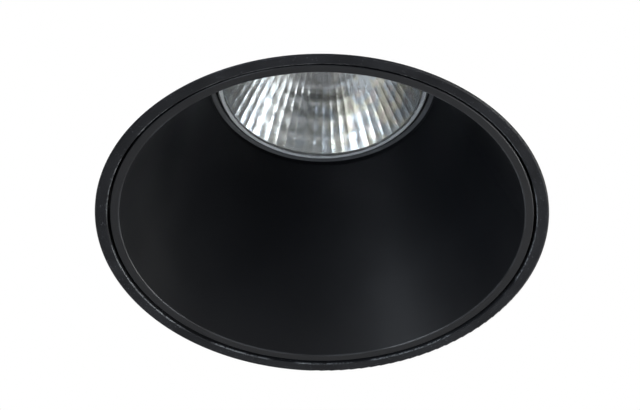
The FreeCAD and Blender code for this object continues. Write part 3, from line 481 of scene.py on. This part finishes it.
def mirror_coat(name, shade, mouth_radius):
    """Bright metal on pressed glass, a little hammered and faintly coloured, with a bare rim."""
    material, nodes = new_finish(name)
    x, *_, radius = nodes.place()
    hammer = nodes.cells(1.3 * MM, "SMOOTH_F1")
    haze = nodes.noise(2.5 * MM, detail=3.0)
    warm = nodes.smooth(nodes.noise(4 * MM), 0.44, 0.6) * nodes.smooth(x, -6 * MM, 10 * MM)
    pink = nodes.smooth(nodes.noise(2.2 * MM, detail=1.0), 0.52, 0.66) * nodes.smooth(x, 0.0, 12 * MM)
    blue = nodes.smooth(nodes.noise(5 * MM, detail=3.0), 0.5, 0.7)
    base = nodes.mix(blue * 0.5, shade, (0.56, 0.64, 0.74))
    base = nodes.mix(warm * 0.75, base, (0.88, 0.80, 0.62))
    base = nodes.mix(pink * 0.5, base, (0.88, 0.72, 0.68))
    bare = radius > mouth_radius + 0.15 * MM
    base = nodes.mix(bare, base, (0.5, 0.52, 0.53))
    roughness = nodes.spread(haze, 0.19, 0.26) + bare * 0.22
    nodes.surface(base, roughness, 1.0 - bare * 0.75, nodes.bump(hammer, 0.02 * MM, 0.4))
    return material


def paint(material, *nodes):
    """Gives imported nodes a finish."""
    for node in nodes:
        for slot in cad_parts[node].material_slots:
            slot.material = material


# ------------------------------------------------ meshes


def add_object(name, data):
    """Puts a new object into the scene, in place of any that has its name."""
    old = bpy.data.objects.get(name)
    if old:
        bpy.data.objects.remove(old)
    made = bpy.data.objects.new(name, data)
    bpy.context.scene.collection.objects.link(made)
    return made


def add_mesh_object(name, mesh, material):
    """An object from a bmesh, in one finish."""
    data = bpy.data.meshes.new(name)
    mesh.to_mesh(data)
    mesh.free()
    data.materials.append(material)
    return add_object(name, data)


def new_piece(name, mesh, material, body, slot, *stands_for, crease=32):
    """A piece of the light: smooth, but sharp where faces meet at over crease degrees; rides on a body."""
    bmesh.ops.recalc_face_normals(mesh, faces=mesh.faces)
    piece = add_mesh_object(name, mesh, material)
    piece.data.shade_smooth()
    piece.data.set_sharp_from_angle(angle=math.radians(crease))
    if stands_for:
        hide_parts(*stands_for)
    if body:
        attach(piece, body)
    return piece


def rounded_outline(corners, steps=5):
    """Points of a closed outline whose corners, given as (radius, height, round), are arcs."""
    points = []
    for k, (radius, height, size) in enumerate(corners):
        here = Vector((radius, height))
        if size == 0:
            points.append(here)
            continue
        before = Vector(corners[k - 1][:2]) - here
        after = Vector(corners[(k + 1) % len(corners)][:2]) - here
        half = before.angle(after) / 2
        centre = here + (before.normalized() + after.normalized()).normalized() * (size / math.sin(half))
        start = here + before.normalized() * (size / math.tan(half)) - centre
        end = here + after.normalized() * (size / math.tan(half)) - centre
        sweep = math.atan2(start.x * end.y - start.y * end.x, start.dot(end))
        for step in range(steps + 1):
            points.append(centre + Matrix.Rotation(sweep * step / steps, 2) @ start)
    return points


def skin(mesh, rings, close_round=True, close_along=False):
    """Quads between neighbouring rings of vertices, each with as many."""
    count = len(rings[0])
    pairs = list(zip(rings, rings[1:]))
    if close_along:
        pairs.append((rings[-1], rings[0]))
    for one, two in pairs:
        for k in range(count if close_round else count - 1):
            quad = [one[k], one[(k + 1) % count], two[(k + 1) % count], two[k]]
            mesh.faces.new(list(dict.fromkeys(quad)))


def circle(radius, steps):
    """Points of a circle, from +X round by +Y."""
    turns = (2 * math.pi * step / steps for step in range(steps))
    return [(radius * math.cos(turn), radius * math.sin(turn)) for turn in turns]


def level_ring(mesh, radius, height, steps, centre=(0.0, 0.0)):
    """A ring of vertices at one height."""
    return [mesh.verts.new((centre[0] + x, centre[1] + y, height)) for x, y in circle(radius, steps)]


def add_lathe(mesh, outline, steps=192, centre=(0.0, 0.0)):
    """Turns a closed outline of (radius, height) about a line along Z. A point on it is one vertex."""
    columns = []
    poles = {}
    for step in range(steps):
        turn = 2 * math.pi * step / steps
        column = []
        for k, (radius, height) in enumerate(outline):
            if radius < 1e-7:
                if k not in poles:
                    poles[k] = mesh.verts.new((*centre, height))
                column.append(poles[k])
            else:
                place = (centre[0] + radius * math.cos(turn), centre[1] + radius * math.sin(turn), height)
                column.append(mesh.verts.new(place))
        columns.append(column)
    for one, two in zip(columns, columns[1:] + columns[:1]):
        for k in range(len(outline)):
            nxt = (k + 1) % len(outline)
            corners = list(dict.fromkeys([one[k], one[nxt], two[nxt], two[k]]))
            if len(corners) > 2:
                mesh.faces.new(corners)


def add_disc(mesh, inner, outer, height, steps=192):
    """A flat sheet with a round hole."""
    skin(mesh, [level_ring(mesh, radius, height, steps) for radius in (inner, outer)])


def add_tube(mesh, points, radius, sides=12):
    """A round wire along points, with flat ends. Its rings keep their twist from one point to the next."""
    rings = []
    across = (points[1] - points[0]).orthogonal().normalized()
    for k, here in enumerate(points):
        way = (points[min(k + 1, len(points) - 1)] - points[max(k - 1, 0)]).normalized()
        across = (across - way * across.dot(way)).normalized()
        other = way.cross(across)
        rings.append([mesh.verts.new(here + across * x + other * y) for x, y in circle(radius, sides)])
    skin(mesh, rings)
    mesh.faces.new(reversed(rings[0]))
    mesh.faces.new(rings[-1])


# ------------------------------------------------ pieces


class DownlightOperator:
    """What the operators here share."""

    bl_options = {"REGISTER", "UNDO"}


class DOWNLIGHT_OT_trim(DownlightOperator, bpy.types.Operator):
    """Coat the trim ring and finish its gasket"""

    bl_idname = "downlight.trim"
    bl_label = "Trim ring"

    def execute(self, context):
        trim = context.scene.downlight_trim
        paint(powder_coat("trim_powder_coat", trim.coat, trim.coat_grain, trim.ring_edge), "trim_ring")
        paint(rubber("soffit_gasket_foam", (0.02, 0.02, 0.021)), "soffit_gasket")
        return {"FINISHED"}


class DOWNLIGHT_OT_cone(DownlightOperator, bpy.types.Operator):
    """Paint the cone and finish its pivots and the ring round the lamp"""

    bl_idname = "downlight.cone"
    bl_label = "Cone"

    def execute(self, context):
        trim = context.scene.downlight_trim
        paint(satin_black("cone_satin", trim.cone, trim.cone_mouth), "reflector_cone")
        paint(rubber("seat_ring_rubber", (0.035, 0.037, 0.04), 0.25 * MM), "lamp_seat_ring")
        paint(zinc_plate("pivot_zinc"), "pivot_pins")
        paint(drawn_wire("washer_steel", (0.42, 0.42, 0.44)), "friction_washers")
        return {"FINISHED"}


def bowl_rise(lamp, radius):
    """Height of the bowl's parabola inside, above the mouth."""
    return lamp.bowl_depth * (1 - (radius / lamp.mouth_radius) ** 2)


def bowl_levels(lamp):
    """Radius at each edge between two rows of facets, from the mouth to the bore."""
    span = lamp.mouth_radius - lamp.bore_radius
    growth = 1.1
    shares = [(row / lamp.facet_rows) ** growth for row in range(lamp.facet_rows + 1)]
    return [lamp.mouth_radius - span * share for share in shares]


def uneven(first, second):
    """A number between -1 and 1 that differs from facet to facet, as pressed glass does."""
    return 2 * ((math.sin(12.9898 * first + 78.233 * second) * 43758.5453) % 1) - 1


def add_facets(mesh, lamp, mouth, across=4, along=6):
    """The bowl's mirrored inside: rows of slightly swollen facets on a parabola."""
    levels = bowl_levels(lamp)
    half_facet = math.pi / lamp.facet_columns
    rings = []
    for row, (outer, inner) in enumerate(zip(levels, levels[1:])):
        steps = range(along + 1) if row == lamp.facet_rows - 1 else range(along)
        for step in steps:
            v = step / along
            radius = outer + (inner - outer) * v
            slope = -2 * lamp.bowl_depth * radius / lamp.mouth_radius**2
            inward = Vector((slope, 0, -1)).normalized()
            ring = []
            for k in range(lamp.facet_columns * across):
                u = (k % across) / across
                turn = 2 * math.pi * k / (lamp.facet_columns * across)
                flat = math.cos(half_facet) / math.cos(2 * half_facet * (u - 0.5))
                lean_u, lean_v = uneven(k // across, row), uneven(row, k // across)
                crest = 1 + 2 * lean_u * (u - 0.5) + 2 * lean_v * (v - 0.5)
                dome = 16 * u * (1 - u) * v * (1 - v)  # 1 in the middle, 0 at the edges
                swell = lamp.facet_swell * dome * crest
                place = Vector((radius * flat, 0, mouth + bowl_rise(lamp, radius))) + inward * swell
                ring.append(mesh.verts.new(Matrix.Rotation(turn, 3, "Z") @ place))
            rings.append(ring)
    skin(mesh, rings)
    return rings[0], rings[-1]


class DOWNLIGHT_OT_lamp_bowl(DownlightOperator, bpy.types.Operator):
    """Build the lamp's faceted bowl"""

    bl_idname = "downlight.lamp_bowl"
    bl_label = "Lamp bowl"

    def execute(self, context):
        lamp = context.scene.downlight_lamp
        low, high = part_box("lamp_reflector")
        mesh = bmesh.new()
        mouth_ring, bore_ring = add_facets(mesh, lamp, low.z)
        rim_top = low.z + 2.6 * MM
        below, above = 0.3 * MM, 0.4 * MM  # bevels of the rim
        neck = lamp.bore_radius + lamp.bowl_wall
        back = [(high.x - below, low.z), (high.x, low.z + below)]
        back += [(high.x, rim_top - above), (high.x - above, rim_top)]
        levels = bowl_levels(lamp)
        outside = [(radius + lamp.bowl_wall, low.z + bowl_rise(lamp, radius)) for radius in levels]
        back += [(radius, height) for radius, height in outside if height > rim_top + 0.2 * MM]
        back += [(neck, high.z), (lamp.bore_radius, high.z)]
        steps = len(mouth_ring)
        back_rings = [level_ring(mesh, radius, height, steps) for radius, height in back]
        skin(mesh, [mouth_ring, *back_rings, bore_ring])
        material = mirror_coat("bowl_mirror", lamp.mirror, lamp.mouth_radius)
        new_piece("lamp_bowl", mesh, material, "lamp", "reflector_mirror", "lamp_reflector", crease=6)
        return {"FINISHED"}


class DOWNLIGHT_OT_lamp_glass(DownlightOperator, bpy.types.Operator):
    """Build the lamp's front glass and its ground edge"""

    bl_idname = "downlight.lamp_glass"
    bl_label = "Lamp glass"

    def execute(self, context):
        lamp = context.scene.downlight_lamp
        low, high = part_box("lamp_front_glass")
        inner = high.x - lamp.ground_edge
        mesh = bmesh.new()
        add_lathe(mesh, [(0.0, low.z), (inner, low.z), (inner, high.z), (0.0, high.z)])
        material = clear_glass("lamp_glass_clear", (0.97, 0.985, 0.98))
        new_piece("lamp_glass", mesh, material, "lamp", "front_glass", "lamp_front_glass")
        corners = [
            (inner, low.z, 0),
            (high.x, low.z, lamp.glass_round),
            (high.x, high.z, lamp.glass_round / 3),
            (inner, high.z, 0),
        ]
        mesh = bmesh.new()
        add_lathe(mesh, rounded_outline(corners))
        material = ground_glass("glass_ground_edge", lip_radius=24.2 * MM)
        new_piece("lamp_glass_edge", mesh, material, "lamp", "front_glass")
        return {"FINISHED"}


class DOWNLIGHT_OT_lamp_burner(DownlightOperator, bpy.types.Operator):
    """Finish the lamp's burner, base and pins"""

    bl_idname = "downlight.lamp_burner"
    bl_label = "Lamp burner and base"

    def execute(self, context):
        paint(clear_glass("quartz_clear", (0.98, 0.98, 0.98), 0.01), "lamp_capsule")
        low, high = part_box("lamp_filament")
        coil, wire, leg = 0.42 * MM, 0.09 * MM, 1.2 * MM
        reach, height = high.x - 0.25 * MM, low.z + 0.55 * MM
        turns, in_circle = 16, 14
        path = [Vector((-reach, coil, high.z)), Vector((-reach, coil, height + leg))]
        for k in range(turns * in_circle + 1):
            a = 2 * math.pi * k / in_circle
            x = -reach + 2 * reach * k / (turns * in_circle)
            path.append(Vector((x, coil * math.cos(a), height + coil * math.sin(a))))
        path += [Vector((reach, coil, height + leg)), Vector((reach, coil, high.z))]
        mesh = bmesh.new()
        add_tube(mesh, path, wire, sides=8)
        tungsten = bright_metal("tungsten_wire", (0.40, 0.40, 0.42), (0.22, 0.22, 0.23), 0.35)
        new_piece("filament_coil", mesh, tungsten, "lamp", "tungsten", "lamp_filament")
        paint(fired_ceramic("lamp_base_ceramic", (0.80, 0.79, 0.76)), "lamp_base")
        paint(bright_metal("nickel_pins", (0.70, 0.68, 0.62), (0.46, 0.43, 0.37)), "lamp_pins")
        return {"FINISHED"}


def clip_pin(clips):
    """Middle of the pin of the clip at +Y."""
    return Vector((0, clips.pin_y, clips.pin_z))


def foot_outline(clips):
    """Side view of a clip's foot, as (along the arm, across it), with grooves in its underside."""
    start = clips.arm_length + clips.foot_overhang - clips.foot_length
    end = start + clips.foot_length
    below_spring, heel_round = 0.8 * MM, 0.8 * MM
    middle = -(clips.coil_radius + clips.wire / 2 + below_spring)
    low, high = middle - clips.foot_thickness / 2, middle + clips.foot_thickness / 2
    groove, ribs = 0.45 * MM, 6
    corners = [(start, high, heel_round), (start, low, clips.foot_round)]
    plain = 1.2 * clips.foot_round  # at each end, without grooves
    step = (clips.foot_length - 2 * plain) / ribs
    for rib in range(1, ribs):
        here = start + plain + rib * step
        half = 0.2 * step
        corners += [(here - half, low, 0), (here - half * 0.6, low + groove, 0)]
        corners += [(here + half * 0.6, low + groove, 0), (here + half, low, 0)]
    corners += [(end, low, clips.foot_round), (end, high, clips.foot_round)]
    return rounded_outline(corners)


class DOWNLIGHT_OT_clip_feet(DownlightOperator, bpy.types.Operator):
    """Mould the ribbed feet on the ends of the clips' arms"""

    bl_idname = "downlight.clip_feet"
    bl_label = "Clip feet"

    def execute(self, context):
        clips = context.scene.downlight_clips
        soft = rubber("clip_foot_plastic", (0.022, 0.022, 0.023), 0.3 * MM)
        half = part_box("clip_foot_right")[1].x
        along = Vector((0, math.cos(clips.droop), -math.sin(clips.droop)))
        across = Vector((0, math.sin(clips.droop), math.cos(clips.droop)))
        pin = clip_pin(clips)
        outline = foot_outline(clips)
        middle = sum(outline, Vector((0, 0))) / len(outline)
        for side, turn in SIDES.items():
            mesh = bmesh.new()
            rings = []
            edge = 0.5 * MM
            for x, inset in ((-half, edge), (-half + edge, 0), (half - edge, 0), (half, edge)):
                shrink = 1 - inset / (clips.foot_thickness / 2)
                points = [middle + (point - middle) * shrink if inset else point for point in outline]
                rings.append([
                    mesh.verts.new(turn @ (pin + Vector((x, 0, 0)) + along * point.x + across * point.y))
                    for point in points
                ])
            skin(mesh, rings)
            mesh.faces.new(reversed(rings[0]))
            mesh.faces.new(rings[-1])
            new_piece(f"foot_{side}", mesh, soft, f"clip_{side}", "clip_plastic", f"clip_foot_{side}")
        return {"FINISHED"}


class DOWNLIGHT_OT_clips(DownlightOperator, bpy.types.Operator):
    """Finish the clips' brackets, pins, arms and rivets"""

    bl_idname = "downlight.clips"
    bl_label = "Clips"

    def execute(self, context):
        zinc = zinc_plate("clip_zinc")
        for side in SIDES:
            paint(zinc, f"clip_bracket_{side}", f"clip_arm_{side}", f"clip_pin_{side}")
        paint(zinc, "clip_rivets")
        return {"FINISHED"}


def add_pan_screw(mesh, centre, head_bottom, tip, head_radius, head_height, steps=72):
    """A screw that points down: domed head with a cross recess, and a threaded shank."""
    def head_top(x, y):
        far = math.hypot(x, y) / head_radius
        dome = head_height * (1 - 0.45 * far**2.6)
        arm = 0.5 * head_radius
        slot = max(cross_arm(x, y, arm), cross_arm(y, x, arm))
        return head_bottom + dome - 0.62 * head_height * slot

    def cross_arm(across, along, arm):
        width = 0.12 * head_radius
        depths = ((1.5 * width - abs(across)) / width, (arm - abs(along)) / width)
        return math.prod(min(1, max(0, depth)) for depth in depths)

    rings = []
    levels = 15
    for k in range(1, levels + 1):
        points = circle(0.96 * head_radius * k / levels, steps)
        rings.append([mesh.verts.new((centre[0] + x, centre[1] + y, head_top(x, y))) for x, y in points])
    side = [(head_radius, head_bottom + share * head_height) for share in (0.35, 0.05)]
    side += [(0.96 * head_radius, head_bottom), (0.5 * head_radius, head_bottom)]
    pitch, height = 0.55 * MM, head_bottom - 0.4 * MM
    while height > tip + 1.6 * MM:
        side += [(0.42 * head_radius, height), (0.53 * head_radius, height - 0.5 * pitch)]
        height -= pitch
    side += [(0.42 * head_radius, height), (0.12 * head_radius, tip)]
    rings += [level_ring(mesh, radius, level, steps, centre) for radius, level in side]
    skin(mesh, rings)
    middle = mesh.verts.new((*centre, head_top(0, 0)))
    for k in range(steps):
        mesh.faces.new([middle, rings[0][k], rings[0][(k + 1) % steps]])
    mesh.faces.new(rings[-1])


class DOWNLIGHT_OT_screws(DownlightOperator, bpy.types.Operator):
    """Turn the screws of the housing and of the terminal box's cover"""

    bl_idname = "downlight.screws"
    bl_label = "Screws"

    def execute(self, context):
        screws = context.scene.downlight_screws
        zinc = zinc_plate("screw_zinc_bright")
        x, y = screws.cover_x, screws.cover_y
        rows = {
            "housing_screws": circle(screws.ring_radius, 3),
            "cover_screws": [(-x, -y), (-x, y), (x, y)],
        }
        for node, centres in rows.items():
            low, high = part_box(node)
            mesh = bmesh.new()
            for centre in centres:
                head = high.z - screws.head_height
                add_pan_screw(mesh, centre, head, low.z, screws.head_radius, screws.head_height)
            name = node.replace("_screws", "_pan_screws")
            new_piece(name, mesh, zinc, "tilting_head", "zinc_steel", node)
        return {"FINISHED"}


def spring_path(clips, steps_in_turn=32):
    """Middle line of the clip spring at +Y: standing leg, coil about the clip's pin, moving leg."""
    turns = 4 + (1.5 * math.pi - clips.droop) / (2 * math.pi)
    pin = clip_pin(clips)
    across, advance = clips.coil_radius, clips.pitch / (2 * math.pi)

    def place(turn):
        a = 2 * math.pi * turn
        return pin + Vector(((turn - turns / 2) * clips.pitch, across * math.cos(a), across * math.sin(a)))

    def way(turn):
        a = 2 * math.pi * turn
        return Vector((advance, -across * math.sin(a), across * math.cos(a))).normalized()

    steps, leg_steps = round(turns * steps_in_turn), 6
    path = [place(0) - way(0) * clips.leg_in * (1 - k / leg_steps) for k in range(leg_steps)]
    path += [place(turns * k / steps) for k in range(steps + 1)]
    path += [place(turns) + way(turns) * clips.leg_out * (k + 1) / leg_steps for k in range(leg_steps)]
    return path


class DOWNLIGHT_OT_clip_springs(DownlightOperator, bpy.types.Operator):
    """Coil the clips' torsion springs, as they lie with the arms at rest"""

    bl_idname = "downlight.clip_springs"
    bl_label = "Clip springs"

    def execute(self, context):
        clips = context.scene.downlight_clips
        steel = drawn_wire("spring_steel")
        for side, turn in SIDES.items():
            path = [turn @ point for point in spring_path(clips)]
            mesh = bmesh.new()
            add_tube(mesh, path, clips.wire / 2)
            spring = new_piece(f"spring_{side}", mesh, steel, None, "spring_steel", f"clip_spring_{side}")
            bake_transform(spring)
        return {"FINISHED"}


class DOWNLIGHT_OT_housing(DownlightOperator, bpy.types.Operator):
    """Finish the lamp housing, its gasket and the screws inside it"""

    bl_idname = "downlight.housing"
    bl_label = "Lamp housing"

    def execute(self, context):
        paint(spun_aluminium("housing_aluminium"), "lamp_housing")
        paint(rubber("housing_gasket_fibre", (0.16, 0.15, 0.13), 0.2 * MM), "housing_gasket")
        paint(zinc_plate("screw_zinc"), "box_screws", "holder_screws")
        return {"FINISHED"}


class DOWNLIGHT_OT_holder(DownlightOperator, bpy.types.Operator):
    """Finish the lamp holder and its contacts"""

    bl_idname = "downlight.holder"
    bl_label = "Lamp holder"

    def execute(self, context):
        paint(fired_ceramic("holder_ceramic"), "lamp_holder", "holder_face")
        paint(bright_metal("contact_brass", (0.72, 0.53, 0.24), (0.42, 0.30, 0.16)), "holder_contacts")
        return {"FINISHED"}


class DOWNLIGHT_OT_terminal_box(DownlightOperator, bpy.types.Operator):
    """Finish the terminal box, its cover and its gasket"""

    bl_idname = "downlight.terminal_box"
    bl_label = "Terminal box"

    def execute(self, context):
        paint(moulded_plastic("box_plastic", (0.030, 0.031, 0.033)), "terminal_box", "terminal_cover")
        paint(rubber("cover_gasket_rubber", (0.08, 0.08, 0.085)), "cover_gasket")
        return {"FINISHED"}


class DOWNLIGHT_OT_terminals(DownlightOperator, bpy.types.Operator):
    """Finish the terminal block, the leads and the earth screw"""

    bl_idname = "downlight.terminals"
    bl_label = "Terminals and leads"

    def execute(self, context):
        paint(moulded_plastic("terminal_nylon", (0.72, 0.71, 0.66), gloss=0.36), "terminal_block")
        brass = bright_metal("terminal_brass", (0.74, 0.56, 0.28), (0.46, 0.33, 0.18))
        paint(brass, "terminal_screws", "earth_screw")
        paint(bright_metal("earth_tag_tin", (0.66, 0.66, 0.65), (0.42, 0.41, 0.39)), "earth_tag")
        paint(sleeving("live_sleeve", (0.20, 0.085, 0.035)), "live_lead")
        paint(sleeving("neutral_sleeve", (0.035, 0.12, 0.42)), "neutral_lead")
        paint(sleeving("earth_sleeve", (0.26, 0.42, 0.05)), "earth_lead")
        return {"FINISHED"}


class DOWNLIGHT_OT_gland(DownlightOperator, bpy.types.Operator):
    """Finish the cable gland"""

    bl_idname = "downlight.gland"
    bl_label = "Cable gland"

    def execute(self, context):
        nylon = moulded_plastic("gland_nylon", (0.040, 0.041, 0.043), 0.3 * MM, 0.38)
        paint(nylon, "gland_body", "gland_nut", "gland_locknut")
        paint(rubber("gland_seal_rubber", (0.025, 0.025, 0.026)), "gland_seal")
        return {"FINISHED"}


# ------------------------------------------------ stage


def pale_surface(name, glow_share):
    """Pale paint that the camera sees as near white, with the light's shadow still on it."""
    material, nodes = new_finish(name)
    grain = nodes.noise(40 * MM, detail=3.0)
    base = nodes.mix(grain, (0.84, 0.84, 0.84), (0.88, 0.88, 0.88))
    floor = nodes.add("ShaderNodeBsdfDiffuse", inputs={"Color": base})
    glow = nodes.add("ShaderNodeEmission", inputs={"Color": (1, 1, 1, 1), "Strength": 1.0})
    seen = seen_directly(nodes) * glow_share
    mixed = nodes.add("ShaderNodeMixShader", inputs={0: seen, 1: floor, 2: glow})
    nodes.add("ShaderNodeOutputMaterial", inputs={"Surface": mixed})
    return material


def seen_directly(nodes):
    """1 for what the camera sees, straight, reflected or through glass; 0 for what lights the rest."""
    ways = ("Is Camera Ray", "Is Glossy Ray", "Is Transmission Ray")
    camera, glossy, through = (nodes.add("ShaderNodeLightPath", output=way) for way in ways)
    return nodes.maths("MAXIMUM", nodes.maths("MAXIMUM", camera, glossy), through)


def add_backdrop(name, mesh, material):
    """A piece of the stage."""
    backdrop = add_mesh_object(name, mesh, material)
    return backdrop


def set_world(scene, ambient):
    """White wherever it is seen, a plain grey level as light, and dark in the loft above."""
    if scene.world is None:
        scene.world = bpy.data.worlds.new("studio")
    scene.world.use_nodes = True
    nodes = Nodes(scene.world.node_tree)
    direction = nodes.add("ShaderNodeTexCoord", output="Generated")
    _, y, z = nodes.parts(direction)
    camera = nodes.add("ShaderNodeLightPath", output="Is Camera Ray")
    behind = nodes.smooth(y, 0.3, 0.5)
    loft = 1.0 - nodes.smooth(z, 0.25, 0.4) * nodes.maths("MAXIMUM", camera, behind) * 0.98
    strength = nodes.smooth(seen_directly(nodes), 0.0, 1.0, ambient, 1.0) * loft
    sky = nodes.add("ShaderNodeBackground", inputs={"Color": (1, 1, 1, 1), "Strength": strength})
    nodes.add("ShaderNodeOutputWorld", inputs={"Surface": sky})


def add_light(name, towards, distance, size, power, shade=(1, 1, 1)):
    """A soft light that looks at the origin, from an azimuth (0 is -Y, 90 is +X) and an elevation."""
    azimuth, elevation = (math.radians(a) for a in towards)
    back = Vector((
        math.sin(azimuth) * math.cos(elevation),
        -math.cos(azimuth) * math.cos(elevation),
        math.sin(elevation),
    ))
    data = bpy.data.lights.new(name, "AREA")
    data.shape = "RECTANGLE"
    data.size, data.size_y = size
    data.energy = power
    data.color = shade
    light = add_object(name, data)
    light.location = back * distance
    light.rotation_euler = (-back).to_track_quat("-Z", "Y").to_euler()
    light.visible_camera = False


def add_camera(stage):
    """The camera of the reference view, which has the middle of the visible face a little off its own."""
    half_width, half_height = 320, 205
    middle_x, middle_y = 322.0, 222.6  # pixel of the middle of the visible face
    roll = math.radians(-0.34)
    data = bpy.data.cameras.new("camera")
    data.lens = stage.focal_length
    data.sensor_width = 36.0
    pixels = stage.focal_length / data.sensor_width * 2 * half_width
    dip = stage.camera_dip
    back = Vector((0, -math.cos(dip), -math.sin(dip)))
    right, up = Vector((1, 0, 0)), Vector((0, -math.sin(dip), math.cos(dip)))
    yaw = math.atan2(middle_x - half_width, pixels)
    pitch = math.atan2(half_height - middle_y, pixels)
    turn = Quaternion(up, yaw)
    forward, right = turn @ -back, turn @ right
    turn = Quaternion(right, -pitch)
    forward, up = turn @ forward, turn @ up
    turn = Quaternion(forward, roll)
    right, up = turn @ right, turn @ up
    camera = add_object("camera", data)
    camera.matrix_world = Matrix((right, up, -forward)).transposed().to_4x4()
    camera.location = back * stage.camera_distance
    bpy.context.scene.camera = camera


class DOWNLIGHT_OT_stage(DownlightOperator, bpy.types.Operator):
    """Set up the floor, the surroundings, the lights and the camera"""

    bl_idname = "downlight.stage"
    bl_label = "Stage"

    def execute(self, context):
        stage = context.scene.downlight_stage
        context.scene.view_settings.view_transform = "Standard"
        mesh = bmesh.new()
        bmesh.ops.create_circle(mesh, cap_ends=True, radius=STAGE_REACH, segments=96)
        floor = add_backdrop("floor", mesh, pale_surface("floor_pale", 0.8))
        floor.location.z = -stage.floor_drop
        ring_low, ring_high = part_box("trim_ring")
        gasket_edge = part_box("soffit_gasket")[1].x
        gap, lap, inset = 0.03 * MM, 1.0 * MM, 0.3 * MM
        faces = {
            "under": (ring_high.x + gap, ring_low.z + inset, 1.0),
            "upper": (gasket_edge - lap, stage.soffit_top, 0.72),
        }
        for side, (hole, height, glow_share) in faces.items():
            mesh = bmesh.new()
            add_disc(mesh, hole, STAGE_REACH, height)
            add_backdrop(f"soffit_{side}_face", mesh, pale_surface(f"soffit_{side}_paint", glow_share))
        set_world(context.scene, stage.ambient)
        add_light("light_right", (114, -23), 0.9, (0.34, 0.5), 7.5, (1.0, 1.0, 0.96))
        add_light("light_right_low", (111, -43), 0.9, (0.3, 0.5), 8.0, (0.96, 0.98, 1.0))
        add_light("light_left", (-44, -28), 0.9, (0.17, 0.6), 5.8, (0.84, 0.91, 1.0))
        add_light("light_left_low", (-42, -45), 0.9, (0.17, 0.5), 5.0, (0.84, 0.91, 1.0))
        add_light("light_above", (35, 52), 1.0, (0.8, 0.8), 4.0)
        add_light("light_above_left", (-75, 35), 1.0, (0.6, 0.6), 2.6)
        add_light("light_behind", (180, 10), 1.2, (0.7, 0.3), 1.8)
        add_camera(stage)
        return {"FINISHED"}


# ------------------------------------------------ add-on

OPERATORS = (
    DOWNLIGHT_OT_trim,
    DOWNLIGHT_OT_cone,
    DOWNLIGHT_OT_lamp_bowl,
    DOWNLIGHT_OT_lamp_glass,
    DOWNLIGHT_OT_lamp_burner,
    DOWNLIGHT_OT_clips,
    DOWNLIGHT_OT_clip_feet,
    DOWNLIGHT_OT_clip_springs,
    DOWNLIGHT_OT_housing,
    DOWNLIGHT_OT_screws,
    DOWNLIGHT_OT_holder,
    DOWNLIGHT_OT_terminal_box,
    DOWNLIGHT_OT_terminals,
    DOWNLIGHT_OT_gland,
    DOWNLIGHT_OT_stage,
)
GROUPS = {
    "downlight_trim": DownlightTrim,
    "downlight_lamp": DownlightLamp,
    "downlight_clips": DownlightClips,
    "downlight_screws": DownlightScrews,
    "downlight_stage": DownlightStage,
}


class DOWNLIGHT_PT_pieces(bpy.types.Panel):
    """Lists the pieces and their settings"""

    bl_label = "Soffit downlight"
    bl_idname = "DOWNLIGHT_PT_pieces"
    bl_space_type = "VIEW_3D"
    bl_region_type = "UI"
    bl_category = "Downlight"

    def draw(self, context):
        for operator in OPERATORS:
            self.layout.operator(operator.bl_idname)
        for name, group in GROUPS.items():
            box = self.layout.box()
            for key in group.__annotations__:
                box.prop(getattr(context.scene, name), key)


def register():
    for cls in (*GROUPS.values(), *OPERATORS, DOWNLIGHT_PT_pieces):
        bpy.utils.register_class(cls)
    for name, group in GROUPS.items():
        setattr(bpy.types.Scene, name, PointerProperty(type=group))


def unregister():
    for name in GROUPS:
        delattr(bpy.types.Scene, name)
    for cls in (DOWNLIGHT_PT_pieces, *reversed(OPERATORS), *GROUPS.values()):
        bpy.utils.unregister_class(cls)


def main():
    register()
    for operator in OPERATORS:
        category, name = operator.bl_idname.split(".")
        getattr(getattr(bpy.ops, category), name)()


if __name__ == "__main__":
    main()
